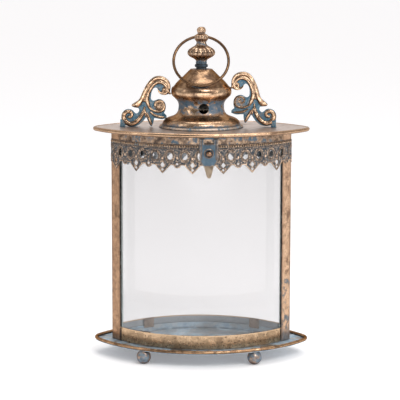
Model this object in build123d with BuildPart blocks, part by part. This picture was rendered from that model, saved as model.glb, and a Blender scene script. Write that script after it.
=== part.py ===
"""Glass cloche: a pointed-oval display case with a hinged lid, a ventilated chimney and a carrying ring.

Millimetres, +Z up. The origin is on the ground under the middle of the base, +Y points to the hinge side.
Front and back of the body are two equal arcs that meet in a sharp corner at each post. Every sheet, band and
pane follows that plan, moved outwards or inwards by a "grow" distance measured square to the arcs.
"""

import os
from math import asin, cos, degrees, hypot, radians, sin, sqrt

from build123d import *

os.makedirs("parts", exist_ok=True)

# Plan of the body, to the outer faces of the posts
half_length = 110.6
half_depth = 60.5
arc_radius = (half_length**2 + half_depth**2) / (2 * half_depth)
arc_centre = arc_radius - half_depth
corner_angle = asin(half_length / arc_radius)
reveal = 20.0
FRONT, BACK = -1, 1
WORDS = {FRONT: "front", BACK: "back"}
beyond = 400.0

# Base
sheet = 1.0
skin = -sheet
lining = skin - sheet
foot_radius = 8.75
foot_flat_radius = 2.6
foot_x = 67.2
foot_shift = -1.2
foot_y = 59.5
foot_centre_z = sqrt(foot_radius**2 - foot_flat_radius**2)
floor_bottom = 16.1
floor_top = floor_bottom + sheet
rim_wire_radius = 1.9
rim_wire_z = floor_top + rim_wire_radius - 0.3
solder_gap = 0.02

# Case
band_height = 16.9
band_top = floor_top + band_height
seat_thickness = 2.4
seat_top = 25.0
tab_sheet = 0.8
glass_thickness = 2.0
glass_gap = 0.3
glass_top = 278.0
glass_end = 105.0
tab_width = 12.0
tab_height = 12.5
tab_bottom = 22.0
tab_x = 66.5
clip_bottom = 251.0
clip_fold_z = glass_top + 0.3
post_leg = 10.9
retainer_leg = 13.4
retainer_sheet = 0.9
case_top = 280.8
upper_band_bottom = 264.0

# Gallery: a pierced strip of alternating large and small pendants
gallery_thickness = 0.7
gallery_top = 267.6
gallery_low = 231.8
pitch = 37.0
pitch_offset = 9.2
valley_z = 242.2
small_tip_z = 238.8
lobe_half_width = 4.4
small_eye_z = 243.8
small_eye_radius = 1.4
large_eye_z = 236.8
large_eye_radius = 1.3
lozenge_z = 242.2
lozenge_half_width = 2.9
lozenge_rise = 3.9
lozenge_drop = 3.5
tip_half_width = 1.6
valley_inset = 0.9
cut_margin = 1.0
cut_back = 3.0
cut_depth = 8.0
valley_lift = 0.6
solid_end = 8.0
oval_z = 253.3
oval_offset = 9.0
oval_half_width = 3.5
oval_half_height = 4.5
bead_low = 263.8
bead_height = 3.0
bead_depth = 1.1

# Lid
lid_bottom = 281.2
lid_thickness = 1.2
lid_top = lid_bottom + lid_thickness
lid_wire_radius = 2.4
lid_wire_z = 280.5
throat_radius = 22.0

# Hinge and latch
pin_radius = 1.0
pin_clearance = 0.05
knuckle_radius = 2.2
knuckle_gap = 0.3
pin_z = 276.8
hinge_half_width = 16.0
pin_head_radius = 1.5
pin_head = 1.0
outer_knuckle = 10.0
middle_knuckle = 3.0
hinge_y = half_depth + knuckle_radius + 0.1
leaf_thickness = 1.0
flange_reach = 10.5
hinge_leaf_bottom = 268.4

# Ring
ring_radius = 33.3
ring_wire = 1.7
ring_lean = 30.5
ring_hole_z = lid_top + 110.9


def keep(built, name):
    """Labels a finished piece and writes its STEP file."""
    built.part.label = name
    export_step(built.part, f"parts/{name}.step")


def pointed_oval(grow=0.0, round_tips=False):
    """The body's plan moved outwards by grow. Round tips swing round the corner of the plan."""
    depth = half_depth + grow
    if round_tips:
        join_x = half_length + grow * sin(corner_angle)
        join_y = grow * cos(corner_angle)
    else:
        join_x = sqrt((arc_radius + grow) ** 2 - arc_centre**2)
        join_y = 0.0
    with BuildSketch() as plan:
        with BuildLine():
            ThreePointArc((-join_x, -join_y), (0, -depth), (join_x, -join_y))
            ThreePointArc((join_x, join_y), (0, depth), (-join_x, join_y))
            if round_tips:
                tip = half_length + grow
                ThreePointArc((join_x, -join_y), (tip, 0), (join_x, join_y))
                ThreePointArc((-join_x, join_y), (-tip, 0), (-join_x, -join_y))
        make_face()
    return plan.sketch


def strip_plan(inner, outer, side, inside_x=beyond):
    """The front or back half of the band between two grown plans, no further out than inside_x."""
    with BuildSketch() as plan:
        add(pointed_oval(outer))
        add(pointed_oval(inner), mode=Mode.SUBTRACT)
        with Locations((0, side * beyond / 2)):
            Rectangle(2 * inside_x, beyond, mode=Mode.INTERSECT)
    return plan.sketch


def angle_plan(inner, outer, end, leg):
    """The V of an upright at one end of the plan, with legs that reach leg inwards along X."""
    with BuildSketch() as plan:
        add(pointed_oval(outer))
        add(pointed_oval(inner), mode=Mode.SUBTRACT)
        with Locations((end * (half_length - leg + beyond / 2), 0)):
            Rectangle(beyond, beyond, mode=Mode.INTERSECT)
    return plan.sketch


def front_plane(angle, grow, z=0.0):
    """A plane square to the front face at an angle along its arc: x runs along the face, y up, z outwards."""
    reach = arc_radius + grow
    return Plane(
        origin=(reach * sin(angle), arc_centre - reach * cos(angle), z),
        x_dir=(cos(angle), sin(angle), 0),
        z_dir=(sin(angle), -cos(angle), 0),
    )


def oval_wire(grow, radius, z):
    """A round wire that runs all the way round the rounded plan, turned in four arcs."""
    corner = degrees(corner_angle)
    arcs = (
        (0, arc_centre, arc_radius + grow, -90 - corner, 2 * corner),
        (half_length, 0, grow, -90 + corner, 180 - 2 * corner),
        (0, -arc_centre, arc_radius + grow, 90 - corner, 2 * corner),
        (-half_length, 0, grow, 90 + corner, 180 - 2 * corner),
    )
    with BuildPart() as wire:
        for x, y, reach, start, turn in arcs:
            outwards = Vector(cos(radians(start)), sin(radians(start)), 0)
            section = Plane(origin=(x, y, z), x_dir=outwards, z_dir=outwards.cross(Vector(0, 0, 1)))
            with BuildSketch(section):
                with Locations((reach, 0)):
                    Circle(radius)
            revolve(axis=Axis((x, y, z), (0, 0, 1)), revolution_arc=turn)
    return wire.part


def inner_wall(outline, wall):
    """A turned outline moved square to itself by the wall thickness, towards the axis."""
    moved = []
    for index, (radius, z) in enumerate(outline):
        before = outline[max(index - 1, 0)]
        after = outline[min(index + 1, len(outline) - 1)]
        along_r, along_z = after[0] - before[0], after[1] - before[1]
        length = hypot(along_r, along_z)
        moved.append((radius - wall * along_z / length, z + wall * along_r / length))
    moved[0] = (outline[0][0] - wall, outline[0][1])
    return moved


def lifted(outline):
    """An outline given above the lid, in heights above the ground."""
    return [(radius, lid_top + z) for radius, z in outline]


# Four ball feet, flattened where they stand and where they are soldered under the base
for x_side, x_word in ((-1, "left"), (1, "right")):
    for y_side in (FRONT, BACK):
        with BuildPart() as foot:
            with Locations((x_side * foot_x + foot_shift, y_side * foot_y, foot_centre_z)):
                Sphere(foot_radius)
            split(bisect_by=Plane.XY, keep=Keep.TOP)
            split(bisect_by=Plane.XY.offset(floor_bottom), keep=Keep.BOTTOM)
        keep(foot, f"foot_{WORDS[y_side]}_{x_word}")

# Base plate, with a shallow bed for the rim wire soldered along its edge
with BuildPart() as base_tray:
    with BuildSketch(Plane.XY.offset(floor_bottom)):
        add(pointed_oval(reveal + 0.6, round_tips=True))
    extrude(amount=sheet)
    add(oval_wire(reveal, rim_wire_radius + solder_gap, rim_wire_z), mode=Mode.SUBTRACT)
keep(base_tray, "base_tray")

with BuildPart() as base_rim:
    add(oval_wire(reveal, rim_wire_radius, rim_wire_z))
keep(base_rim, "base_rim_wire")

# Bands, glass seats, panes and their tabs, front and back
pane_outer = lining - glass_gap
pane_inner = pane_outer - glass_thickness
seat_inner = lining - seat_thickness
for side in (FRONT, BACK):
    word = WORDS[side]
    with BuildPart() as lower_band:
        with BuildSketch(Plane.XY.offset(floor_top)):
            add(strip_plan(lining, skin, side))
        extrude(amount=band_height)
    keep(lower_band, f"lower_band_{word}")

    with BuildPart() as seat:
        with BuildSketch(Plane.XY.offset(floor_top)):
            add(strip_plan(seat_inner, lining, side))
        extrude(amount=seat_top - floor_top)
    keep(seat, f"glass_seat_{word}")

    with BuildPart() as pane:
        with BuildSketch(Plane.XY.offset(seat_top)):
            add(strip_plan(pane_inner, pane_outer, side, glass_end))
        extrude(amount=glass_top - seat_top)
    keep(pane, f"glass_{word}")

    for x_side, x_word in ((-1, "left"), (1, "right")):
        with BuildPart() as tab:
            with BuildSketch(Plane.XY.offset(tab_bottom)):
                add(strip_plan(seat_inner - tab_sheet, seat_inner, side))
                with Locations((x_side * tab_x, side * half_depth)):
                    Rectangle(tab_width, 2 * half_depth, mode=Mode.INTERSECT)
            extrude(amount=tab_height)
        keep(tab, f"glass_tab_{word}_{x_word}")

        # A clip folded over the top edge of the pane, soldered to the upper band
        with BuildPart() as clip:
            with BuildSketch(Plane.XY.offset(clip_bottom)):
                add(strip_plan(seat_inner - tab_sheet, seat_inner, side))
                with Locations((x_side * tab_x, side * half_depth)):
                    Rectangle(tab_width, 2 * half_depth, mode=Mode.INTERSECT)
            extrude(amount=clip_fold_z + tab_sheet - clip_bottom)
            with BuildSketch(Plane.XY.offset(clip_fold_z)):
                add(strip_plan(seat_inner - tab_sheet, lining, side))
                with Locations((x_side * tab_x, side * half_depth)):
                    Rectangle(tab_width, 2 * half_depth, mode=Mode.INTERSECT)
            extrude(amount=tab_sheet)
        keep(clip, f"glass_clip_{word}_{x_word}")

    # The upper band is a folded double strip, relieved at its ends where the posts lap it
    with BuildPart() as upper_band:
        with BuildSketch(Plane.XY.offset(upper_band_bottom)):
            add(strip_plan(lining, skin, side))
            add(strip_plan(skin, 0, side, half_length - post_leg - 0.1))
        extrude(amount=case_top - upper_band_bottom)
    keep(upper_band, f"upper_band_{word}")

# Corner posts outside the bands, and the inner angles that trap the edges of the panes
for end, word in ((-1, "left"), (1, "right")):
    with BuildPart() as post:
        with BuildSketch(Plane.XY.offset(floor_top)):
            add(angle_plan(skin, 0, end, post_leg))
        extrude(amount=case_top - floor_top)
    keep(post, f"post_{word}")

    with BuildPart() as retainer:
        with BuildSketch(Plane.XY.offset(floor_top)):
            add(angle_plan(seat_inner - retainer_sheet, seat_inner, end, retainer_leg))
        extrude(amount=glass_top - floor_top)
    keep(retainer, f"pane_retainer_{word}")

# Pierced gallery, one strip used front and back
half_arc = arc_radius * corner_angle
small_places = [pitch_offset + pitch * turn for turn in range(-4, 4)]
with BuildPart() as gallery:
    with BuildSketch(Plane.XY.offset(gallery_low)):
        add(strip_plan(0, gallery_thickness, FRONT))
    extrude(amount=gallery_top - gallery_low)
    for place in small_places:
        with BuildSketch(front_plane(place / arc_radius, -cut_back)):
            with BuildLine():
                Polyline(
                    (-pitch / 2 + valley_inset, gallery_low - cut_margin),
                    (-pitch / 2 + valley_inset, gallery_low + valley_lift),
                    (-oval_offset, valley_z),
                    (-lobe_half_width, valley_z),
                    (-tip_half_width, small_tip_z),
                    (tip_half_width, small_tip_z),
                    (lobe_half_width, valley_z),
                    (oval_offset, valley_z),
                    (pitch / 2 - valley_inset, gallery_low + valley_lift),
                    (pitch / 2 - valley_inset, gallery_low - cut_margin),
                    close=True,
                )
            make_face()
            if abs(place) < half_arc - solid_end:
                with Locations((0, small_eye_z)):
                    Circle(small_eye_radius)
                with Locations((-oval_offset, oval_z), (oval_offset, oval_z)):
                    Ellipse(oval_half_width, oval_half_height)
        extrude(amount=cut_depth, mode=Mode.SUBTRACT)
        large_place = place - pitch / 2
        if abs(large_place) < half_arc - solid_end:
            with BuildSketch(front_plane(large_place / arc_radius, -cut_back)):
                with Locations((0, lozenge_z)):
                    with BuildLine():
                        Polyline(
                            (-lozenge_half_width, 0),
                            (0, -lozenge_drop),
                            (lozenge_half_width, 0),
                            (0, lozenge_rise),
                            close=True,
                        )
                    make_face()
                with Locations((0, large_eye_z)):
                    Circle(large_eye_radius)
            extrude(amount=cut_depth, mode=Mode.SUBTRACT)
keep(gallery, "gallery_front")

with BuildPart() as gallery_back:
    add(gallery.part.rotate(Axis.Z, 180))
keep(gallery_back, "gallery_back")

# Beaded wire soldered along the top of the gallery, front and back
for side in (FRONT, BACK):
    with BuildPart() as bead_wire:
        with BuildSketch(Plane.XY.offset(bead_low)):
            add(strip_plan(gallery_thickness, gallery_thickness + bead_depth, side))
        extrude(amount=bead_height)
    keep(bead_wire, f"bead_wire_{WORDS[side]}")

# Lid plate with its throat under the chimney, and the wire rolled round its edge
with BuildPart() as lid_plate:
    with BuildSketch(Plane.XY.offset(lid_bottom)):
        add(pointed_oval(reveal - 0.5, round_tips=True))
        Circle(throat_radius, mode=Mode.SUBTRACT)
    extrude(amount=lid_thickness)
    add(oval_wire(reveal, lid_wire_radius + solder_gap, lid_wire_z), mode=Mode.SUBTRACT)
keep(lid_plate, "lid_plate")

with BuildPart() as lid_rim:
    add(oval_wire(reveal, lid_wire_radius, lid_wire_z))
keep(lid_rim, "lid_rim_wire")


def hinge_barrel(spans, radius=knuckle_radius):
    """Knuckles along local X, one for each span of x, with the pin bored through them later."""
    for low, high in spans:
        with Locations(Location(((low + high) / 2, 0, 0), (0, 90, 0))):
            Cylinder(radius, high - low)


# Lid hinge at the back: x runs along the pin, y upwards, z away from the case
hinge_frame = Plane(origin=(0, hinge_y, pin_z), x_dir=(-1, 0, 0), z_dir=(0, 1, 0))
body_spans = (
    (-hinge_half_width, -outer_knuckle),
    (-middle_knuckle, middle_knuckle),
    (outer_knuckle, hinge_half_width),
)
lid_spans = (
    (-outer_knuckle + knuckle_gap, -middle_knuckle - knuckle_gap),
    (middle_knuckle + knuckle_gap, outer_knuckle - knuckle_gap),
)
with BuildPart() as body_leaf:
    with BuildSketch(Plane.XY.offset(hinge_leaf_bottom)):
        add(strip_plan(0, leaf_thickness, BACK, hinge_half_width))
    extrude(amount=pin_z - knuckle_radius - 0.2 - hinge_leaf_bottom)
    with Locations(hinge_frame):
        hinge_barrel(body_spans)
        for low, high in body_spans:
            with Locations(((low + high) / 2, -1.6, -1.45)):
                Box(high - low, 3.2, 1.3)
    with Locations(hinge_frame):
        with Locations(Location((0, 0, 0), (0, 90, 0))):
            Cylinder(pin_radius + pin_clearance, 3 * hinge_half_width, mode=Mode.SUBTRACT)
keep(body_leaf, "hinge_leaf_case")


def lid_bracket(spans, half_width, reach):
    """A leaf soldered under the lid: knuckles, a short drop beside each, and a flange along the lid."""
    hinge_barrel(spans)
    drop = lid_bottom - pin_z
    for low, high in spans:
        with Locations(((low + high) / 2, drop / 2, knuckle_radius - leaf_thickness / 2)):
            Box(high - low, drop, leaf_thickness)
    along = reach - (knuckle_radius - leaf_thickness)
    with Locations((0, drop - leaf_thickness / 2, knuckle_radius - leaf_thickness + along / 2)):
        Box(2 * half_width, leaf_thickness, along)
    with Locations(Location((0, 0, 0), (0, 90, 0))):
        Cylinder(pin_radius + pin_clearance, 3 * half_width, mode=Mode.SUBTRACT)


with BuildPart() as lid_leaf:
    with Locations(hinge_frame):
        lid_bracket(lid_spans, hinge_half_width, flange_reach)
keep(lid_leaf, "hinge_leaf_lid")


def headed_pin(half_width):
    """A pin along local X with a riveted head outside each end knuckle."""
    with Locations(Location((0, 0, 0), (0, 90, 0))):
        Cylinder(pin_radius, 2 * half_width)
    for side in (-1, 1):
        with Locations(Location((side * (half_width + pin_head / 2), 0, 0), (0, 90, 0))):
            Cylinder(pin_head_radius, pin_head)


with BuildPart() as hinge_pin:
    with Locations(hinge_frame):
        headed_pin(hinge_half_width + 0.05)
keep(hinge_pin, "hinge_pin")

# Latch at the front: a hasp that hangs from a bracket under the lid
hasp_half_width = 11.2
hasp_thickness = 1.2
hasp_place = 10.0
hasp_back = gallery_thickness + bead_depth + 0.4
hasp_frame = front_plane(hasp_place / arc_radius, hasp_back + knuckle_radius, pin_z)
bracket_half = 5.2
with BuildPart() as hasp_bracket:
    with Locations(hasp_frame):
        lid_bracket(((-bracket_half, bracket_half),), bracket_half, flange_reach)
keep(hasp_bracket, "hasp_bracket")

with BuildPart() as hasp_pin:
    with Locations(hasp_frame):
        headed_pin(hasp_half_width + 0.05)
keep(hasp_pin, "hasp_pin")

# The hasp's outline is drawn below the pin, in the plane of its back face
notch_bottom = -8.0
shoulder = -25.0
tongue_top = -34.4
tongue_length = 14.2
tongue_half_width = 6.8
tongue_bend = 16.0
knob_z = -19.5
knob_radius = 3.9
dish_radius = 4.9
dish_depth = 0.5
rivet_radius = 1.48
rivet_hole_radius = 1.5
rivet_length = 4.0
knob_stand = 4.8
cheek_x, cheek_z = 10.0, -30.5
tongue_tip_half_width = 1.4
with BuildPart() as hasp_leaf:
    with BuildSketch(front_plane(hasp_place / arc_radius, hasp_back, pin_z)):
        with BuildLine():
            Polyline(
                (-hasp_half_width, shoulder),
                (-hasp_half_width, 0),
                (-bracket_half - knuckle_gap, 0),
                (-bracket_half - knuckle_gap, notch_bottom),
                (bracket_half + knuckle_gap, notch_bottom),
                (bracket_half + knuckle_gap, 0),
                (hasp_half_width, 0),
                (hasp_half_width, shoulder),
            )
            ThreePointArc((hasp_half_width, shoulder), (cheek_x, cheek_z), (tongue_half_width, tongue_top))
            Line((tongue_half_width, tongue_top), (-tongue_half_width, tongue_top))
            ThreePointArc((-tongue_half_width, tongue_top), (-cheek_x, cheek_z), (-hasp_half_width, shoulder))
        make_face()
    extrude(amount=hasp_thickness)
    with BuildSketch(front_plane(hasp_place / arc_radius, hasp_back + hasp_thickness - dish_depth, pin_z)):
        with Locations((0, knob_z)):
            Circle(dish_radius)
    extrude(amount=hasp_thickness, mode=Mode.SUBTRACT)
    with BuildSketch(front_plane(hasp_place / arc_radius, hasp_back - hasp_thickness, pin_z)):
        with Locations((0, knob_z)):
            Circle(rivet_hole_radius)
    extrude(amount=3 * hasp_thickness, mode=Mode.SUBTRACT)
    bend = front_plane(hasp_place / arc_radius, hasp_back, pin_z + tongue_top)
    with BuildSketch(bend.rotated((-tongue_bend, 0, 0))):
        with BuildLine():
            Polyline(
                (-tongue_half_width, 0.3),
                (tongue_half_width, 0.3),
                (tongue_tip_half_width, -tongue_length),
                (-tongue_tip_half_width, -tongue_length),
                close=True,
            )
        make_face()
    extrude(amount=hasp_thickness)
    with Locations(hasp_frame):
        hinge_barrel(
            (
                (-hasp_half_width, -bracket_half - knuckle_gap),
                (bracket_half + knuckle_gap, hasp_half_width),
            )
        )
        with Locations(Location((0, 0, 0), (0, 90, 0))):
            Cylinder(pin_radius + pin_clearance, 4 * hasp_half_width, mode=Mode.SUBTRACT)
keep(hasp_leaf, "hasp_leaf")

with BuildPart() as hasp_knob:
    with BuildSketch(front_plane(hasp_place / arc_radius, hasp_back + 0.1, pin_z)):
        with Locations((0, knob_z)):
            Circle(rivet_radius)
    extrude(amount=rivet_length)
    with Locations(front_plane(hasp_place / arc_radius, hasp_back + knob_stand, pin_z)):
        with Locations((0, knob_z, 0)):
            Sphere(knob_radius)
keep(hasp_knob, "hasp_knob")

# Chimney: a cast foot ring, a spun bell with three vents, and a spun dome
wall = 0.9
flange_height = 3.2
flange_inner, flange_outer = 40.0, 51.4
seam_z = 49.6
dome_top_z = 71.2
vent_radius = 6.3
vent_z = 24.9
vent_turn = 7.2
vent_count = 3
screw_hole_radius = 2.2
with BuildPart() as chimney_ring:
    with BuildSketch(Plane.XZ):
        with BuildLine():
            Polyline(
                (flange_inner, lid_top),
                (flange_outer - 0.2, lid_top),
                (flange_outer, lid_top + 1.4),
                (flange_outer - 1.4, lid_top + flange_height),
                (flange_inner, lid_top + flange_height),
                close=True,
            )
        make_face()
    revolve(axis=Axis.Z)
keep(chimney_ring, "chimney_ring")

bell_outline = lifted(
    [
        (47.3, flange_height), (47.6, 4.8), (46.7, 7.2), (44.4, 9.8), (41.2, 11.6), (38.6, 12.5),
        (36.2, 13.3), (32.4, 15.2), (29.6, 18.0), (28.1, 22.4), (27.8, 26.6), (28.6, 30.8), (31.0, 34.4),
        (33.8, 37.2), (35.8, 39.2), (36.7, 41.4), (37.0, 44.0), (36.7, 46.6), (35.9, 48.6), (34.9, seam_z),
    ]
)
dome_outline = lifted(
    [(34.3, seam_z), (32.6, 51.8), (29.3, 55.8), (24.7, 60.2), (20.9, 63.7), (17.3, 67.4), (13.8, 70.6)]
)


def spun(outline):
    """A spun shell of even wall, open at both ends."""
    inside = inner_wall(outline, wall)
    inside[-1] = (outline[-1][0] - wall, outline[-1][1])
    with BuildPart() as shell:
        with BuildSketch(Plane.XZ):
            with BuildLine():
                Spline(*outline)
                Line(outline[-1], inside[-1])
                Spline(*reversed(inside))
                Line(inside[0], outline[0])
            make_face()
        revolve(axis=Axis.Z)
    return shell.part


with BuildPart() as bell:
    add(spun(bell_outline))
    for place in range(vent_count):
        turned = radians(vent_turn + 360 / vent_count * place)
        vent_axis = Plane(origin=(0, 0, lid_top + vent_z), z_dir=(sin(turned), -cos(turned), 0))
        with BuildSketch(vent_axis):
            Circle(vent_radius)
        extrude(amount=flange_outer, mode=Mode.SUBTRACT)
keep(bell, "chimney_bell")

crown_radius = dome_outline[-1][0]
dome_top = lid_top + dome_top_z
with BuildPart() as dome:
    add(spun(dome_outline))
    with BuildSketch(Plane.XY.offset(dome_outline[-1][1] - wall)):
        Circle(crown_radius)
        Circle(screw_hole_radius, mode=Mode.SUBTRACT)
    extrude(amount=dome_top - dome_outline[-1][1] + wall)
keep(dome, "chimney_dome")

# Finial with its collar, screw and washer; the ring threads the flared hole in its upper bulb
finial_profile = lifted(
    [
        (6.3, 77.6), (6.3, 80.2), (7.4, 82.8), (14.2, 86.6), (17.0, 91.2), (14.2, 95.9), (7.5, 99.6),
        (6.1, 102.2), (6.7, 105.0), (9.4, 110.2), (7.4, 113.2), (4.5, 114.6), (5.5, 118.7), (3.8, 121.7),
        (1.2, 122.6),
    ]
)
finial_top = lid_top + 122.6
neck_radius = 6.3
tapped_radius = 2.0
tapped_depth = 13.0
hole_radius = ring_wire + 0.3
hole_land = 1.5
flare_radius = ring_wire + 2.2
flare_length = 11.0
with BuildPart() as finial:
    with BuildSketch(Plane.XZ):
        with BuildLine():
            Polyline((0, finial_top), (0, dome_top), (neck_radius, dome_top), finial_profile[0])
            Spline(*finial_profile)
            Line(finial_profile[-1], (0, finial_top))
        make_face()
    revolve(axis=Axis.Z)
    with Locations((0, 0, dome_top)):
        Cylinder(tapped_radius, tapped_depth, align=(Align.CENTER, Align.CENTER, Align.MIN), mode=Mode.SUBTRACT)
    with Locations(Location((0, 0, ring_hole_z), (0, 90, 0))):
        Cylinder(hole_radius, 2 * hole_land, mode=Mode.SUBTRACT)
    for side in (-1, 1):
        with Locations(Location((side * hole_land, 0, ring_hole_z), (0, side * 90, 0))):
            Cone(
                hole_radius,
                flare_radius,
                flare_length,
                align=(Align.CENTER, Align.CENTER, Align.MIN),
                mode=Mode.SUBTRACT,
            )
keep(finial, "finial")

collar_z = lid_top + 73.6
collar_radius = 8.0
collar_height = 3.6
collar_round = 1.2
with BuildPart() as collar:
    with BuildSketch(Plane.XY.offset(collar_z)):
        Circle(collar_radius)
        Circle(neck_radius + solder_gap, mode=Mode.SUBTRACT)
    extrude(amount=collar_height)
    fillet(collar.edges().filter_by(GeomType.CIRCLE).sort_by(SortBy.RADIUS)[-2:], radius=collar_round)
keep(collar, "finial_collar")

under_crown = dome_outline[-1][1] - wall
washer_radius = 6.0
washer_height = 1.0
head_radius = 3.7
head_height = 2.8
slot_width = 1.0
slot_depth = 1.2
shank_radius = 1.95
shank_length = 12.0
with BuildPart() as washer:
    with BuildSketch(Plane.XY.offset(under_crown - washer_height)):
        Circle(washer_radius)
        Circle(screw_hole_radius, mode=Mode.SUBTRACT)
    extrude(amount=washer_height)
keep(washer, "finial_washer")

head_bottom = under_crown - washer_height - head_height
with BuildPart() as screw:
    with BuildSketch(Plane.XY.offset(head_bottom)):
        Circle(head_radius)
    extrude(amount=head_height)
    with BuildSketch(Plane.XY.offset(under_crown - washer_height)):
        Circle(shank_radius)
    extrude(amount=shank_length)
    with Locations((0, 0, head_bottom)):
        Box(3 * head_radius, slot_width, 2 * slot_depth, mode=Mode.SUBTRACT)
keep(screw, "finial_screw")

# Carrying ring, threaded through the finial and leaning on the front of the dome
with BuildPart() as ring:
    with BuildSketch(Plane.XZ):
        with Locations((ring_radius, 0)):
            Circle(ring_wire)
    revolve(axis=Axis.Z)
lean_plane = Plane(
    origin=(0, -ring_radius * sin(radians(ring_lean)), ring_hole_z - ring_radius * cos(radians(ring_lean))),
    x_dir=(1, 0, 0),
    z_dir=(0, -cos(radians(ring_lean)), sin(radians(ring_lean))),
)
with BuildPart() as carry_ring:
    add(lean_plane * ring.part)
keep(carry_ring, "carry_ring")

# Cast scrolls beside the chimney. The right one's outline, x from the axis and z above the lid, runs clockwise
# in smooth stretches that meet at its corners.
scroll_thickness = 8.0
scroll_outline = [
    [(37.2, 47.8), (36.6, 51.0), (36.7, 54.8), (37.5, 59.3), (39.8, 63.4), (43.8, 66.3), (49.1, 67.9),
     (54.4, 67.5), (59.3, 65.2), (63.6, 60.3), (67.0, 54.0), (69.6, 47.0), (71.6, 39.8), (73.4, 35.6),
     (76.6, 32.5), (80.2, 29.6), (81.4, 27.8)],
    [(81.4, 27.8), (79.4, 26.0), (75.4, 25.6), (71.8, 25.2)],
    [(71.8, 25.2), (71.2, 22.4), (72.2, 19.8), (74.6, 18.4), (77.0, 19.8)],
    [(77.0, 19.8), (79.8, 22.0), (83.8, 22.7), (88.4, 21.0), (91.4, 16.6), (91.9, 12.0), (90.6, 7.6),
     (87.8, 4.2), (84.0, 2.2), (79.8, 1.6), (75.6, 2.0), (71.0, 3.9), (66.8, 7.6), (63.6, 12.0), (61.5, 15.5)],
    [(61.5, 15.5), (59.4, 12.4), (56.8, 8.2), (54.6, 5.5)],
    [(54.6, 5.5), (53.2, 5.6)],
    [(53.2, 5.6), (52.1, 9.8), (51.8, 13.2), (51.9, 15.9)],
    [(51.9, 15.9), (47.8, 15.8), (42.4, 15.7), (36.8, 17.6)],
    [(36.8, 17.6), (37.0, 20.4), (38.4, 21.9), (40.6, 23.4)],
    [(40.6, 23.4), (39.4, 28.0), (39.7, 33.0), (41.8, 36.9), (45.4, 39.2), (49.6, 39.5), (53.6, 37.4),
     (56.2, 36.6)],
    [(56.2, 36.6), (58.6, 38.6), (59.1, 42.6), (58.8, 47.6), (57.2, 51.8), (54.2, 53.6)],
    [(54.2, 53.6), (52.0, 51.8), (51.0, 48.7), (47.8, 46.3), (43.8, 45.6), (40.4, 46.4), (37.2, 47.8)],
]
foot_low_x, foot_high_x, foot_high_z = 85.8, 91.6, 9.0
foot_depth = 6.4


def scroll(side, lean, shift):
    """One scroll, leant towards the chimney about its foot and moved outwards, with its foot on the lid."""
    pivot = (foot_low_x + foot_high_x) / 2
    with BuildPart() as casting:
        with BuildSketch(Plane.XZ):
            with BuildLine():
                for stretch in scroll_outline:
                    if len(stretch) == 2:
                        Line(*stretch)
                    else:
                        Spline(*stretch)
            make_face()
        extrude(amount=scroll_thickness / 2, both=True)
    body = casting.part.rotate(Axis((pivot, 0, 0), (0, -1, 0)), lean)
    body = body.moved(Location((shift, 0, lid_top)))
    with BuildPart() as whole:
        add(body)
        with BuildSketch(Plane.XY.offset(lid_top)):
            with Locations((pivot + shift, 0)):
                Rectangle(foot_high_x - foot_low_x, foot_depth)
        extrude(amount=foot_high_z)
        if side < 0:
            mirror(about=Plane.YZ, mode=Mode.REPLACE)
    return whole


left_lean, left_shift = 7.5, 7.8
right_scroll = scroll(1, 0.0, 0.0)
keep(right_scroll, "scroll_right")
left_scroll = scroll(-1, left_lean, left_shift)
keep(left_scroll, "scroll_left")
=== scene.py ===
"""Glass cloche: materials, ornament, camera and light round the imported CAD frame. Metres, +Z up."""

import math

import bpy
import numpy as np
from mathutils import Matrix, Vector


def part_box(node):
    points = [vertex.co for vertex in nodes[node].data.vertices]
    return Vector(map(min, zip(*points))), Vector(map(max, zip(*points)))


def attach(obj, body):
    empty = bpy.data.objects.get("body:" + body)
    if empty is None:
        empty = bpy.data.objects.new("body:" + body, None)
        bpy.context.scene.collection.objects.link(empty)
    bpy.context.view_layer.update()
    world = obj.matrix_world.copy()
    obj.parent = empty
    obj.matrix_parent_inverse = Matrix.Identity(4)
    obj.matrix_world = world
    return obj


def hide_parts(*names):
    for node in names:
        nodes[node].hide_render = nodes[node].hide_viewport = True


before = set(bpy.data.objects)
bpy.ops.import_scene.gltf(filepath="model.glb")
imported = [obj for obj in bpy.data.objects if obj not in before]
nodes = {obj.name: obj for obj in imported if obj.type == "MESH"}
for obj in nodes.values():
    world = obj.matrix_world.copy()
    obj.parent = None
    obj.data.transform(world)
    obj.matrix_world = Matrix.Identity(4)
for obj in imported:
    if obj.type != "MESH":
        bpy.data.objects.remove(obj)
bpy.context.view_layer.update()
MM = 0.001

# ---- the body's plan, read from the CAD
HALF_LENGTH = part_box("post_right")[1][0] / MM
HALF_DEPTH = -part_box("upper_band_front")[0][1] / MM
ARC_RADIUS = (HALF_LENGTH**2 + HALF_DEPTH**2) / (2 * HALF_DEPTH)
ARC_CENTRE = ARC_RADIUS - HALF_DEPTH
LID_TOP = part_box("lid_plate")[1][2] / MM
BAND_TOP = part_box("lower_band_back")[1][2] / MM
TONGUE_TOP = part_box("hasp_leaf")[0][2] / MM + 14.0
LEFT_POST, RIGHT_POST = ([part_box(name)[k][0] / MM for k in (0, 1)] for name in ("post_left", "post_right"))


def on_arc(s, grow, side=-1):
    """x and y in mm of a place s mm along the front or back face, moved outwards by grow."""
    reach = ARC_RADIUS + grow
    x = reach * np.sin(s / ARC_RADIUS)
    y = ARC_CENTRE - reach * np.cos(s / ARC_RADIUS)
    return (x, y) if side < 0 else (-x, -y)


# ---- mesh helpers
def add_object(name, data):
    """A new object for some data, linked to the scene."""
    made = bpy.data.objects.new(name, data)
    bpy.context.scene.collection.objects.link(made)
    return made


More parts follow.
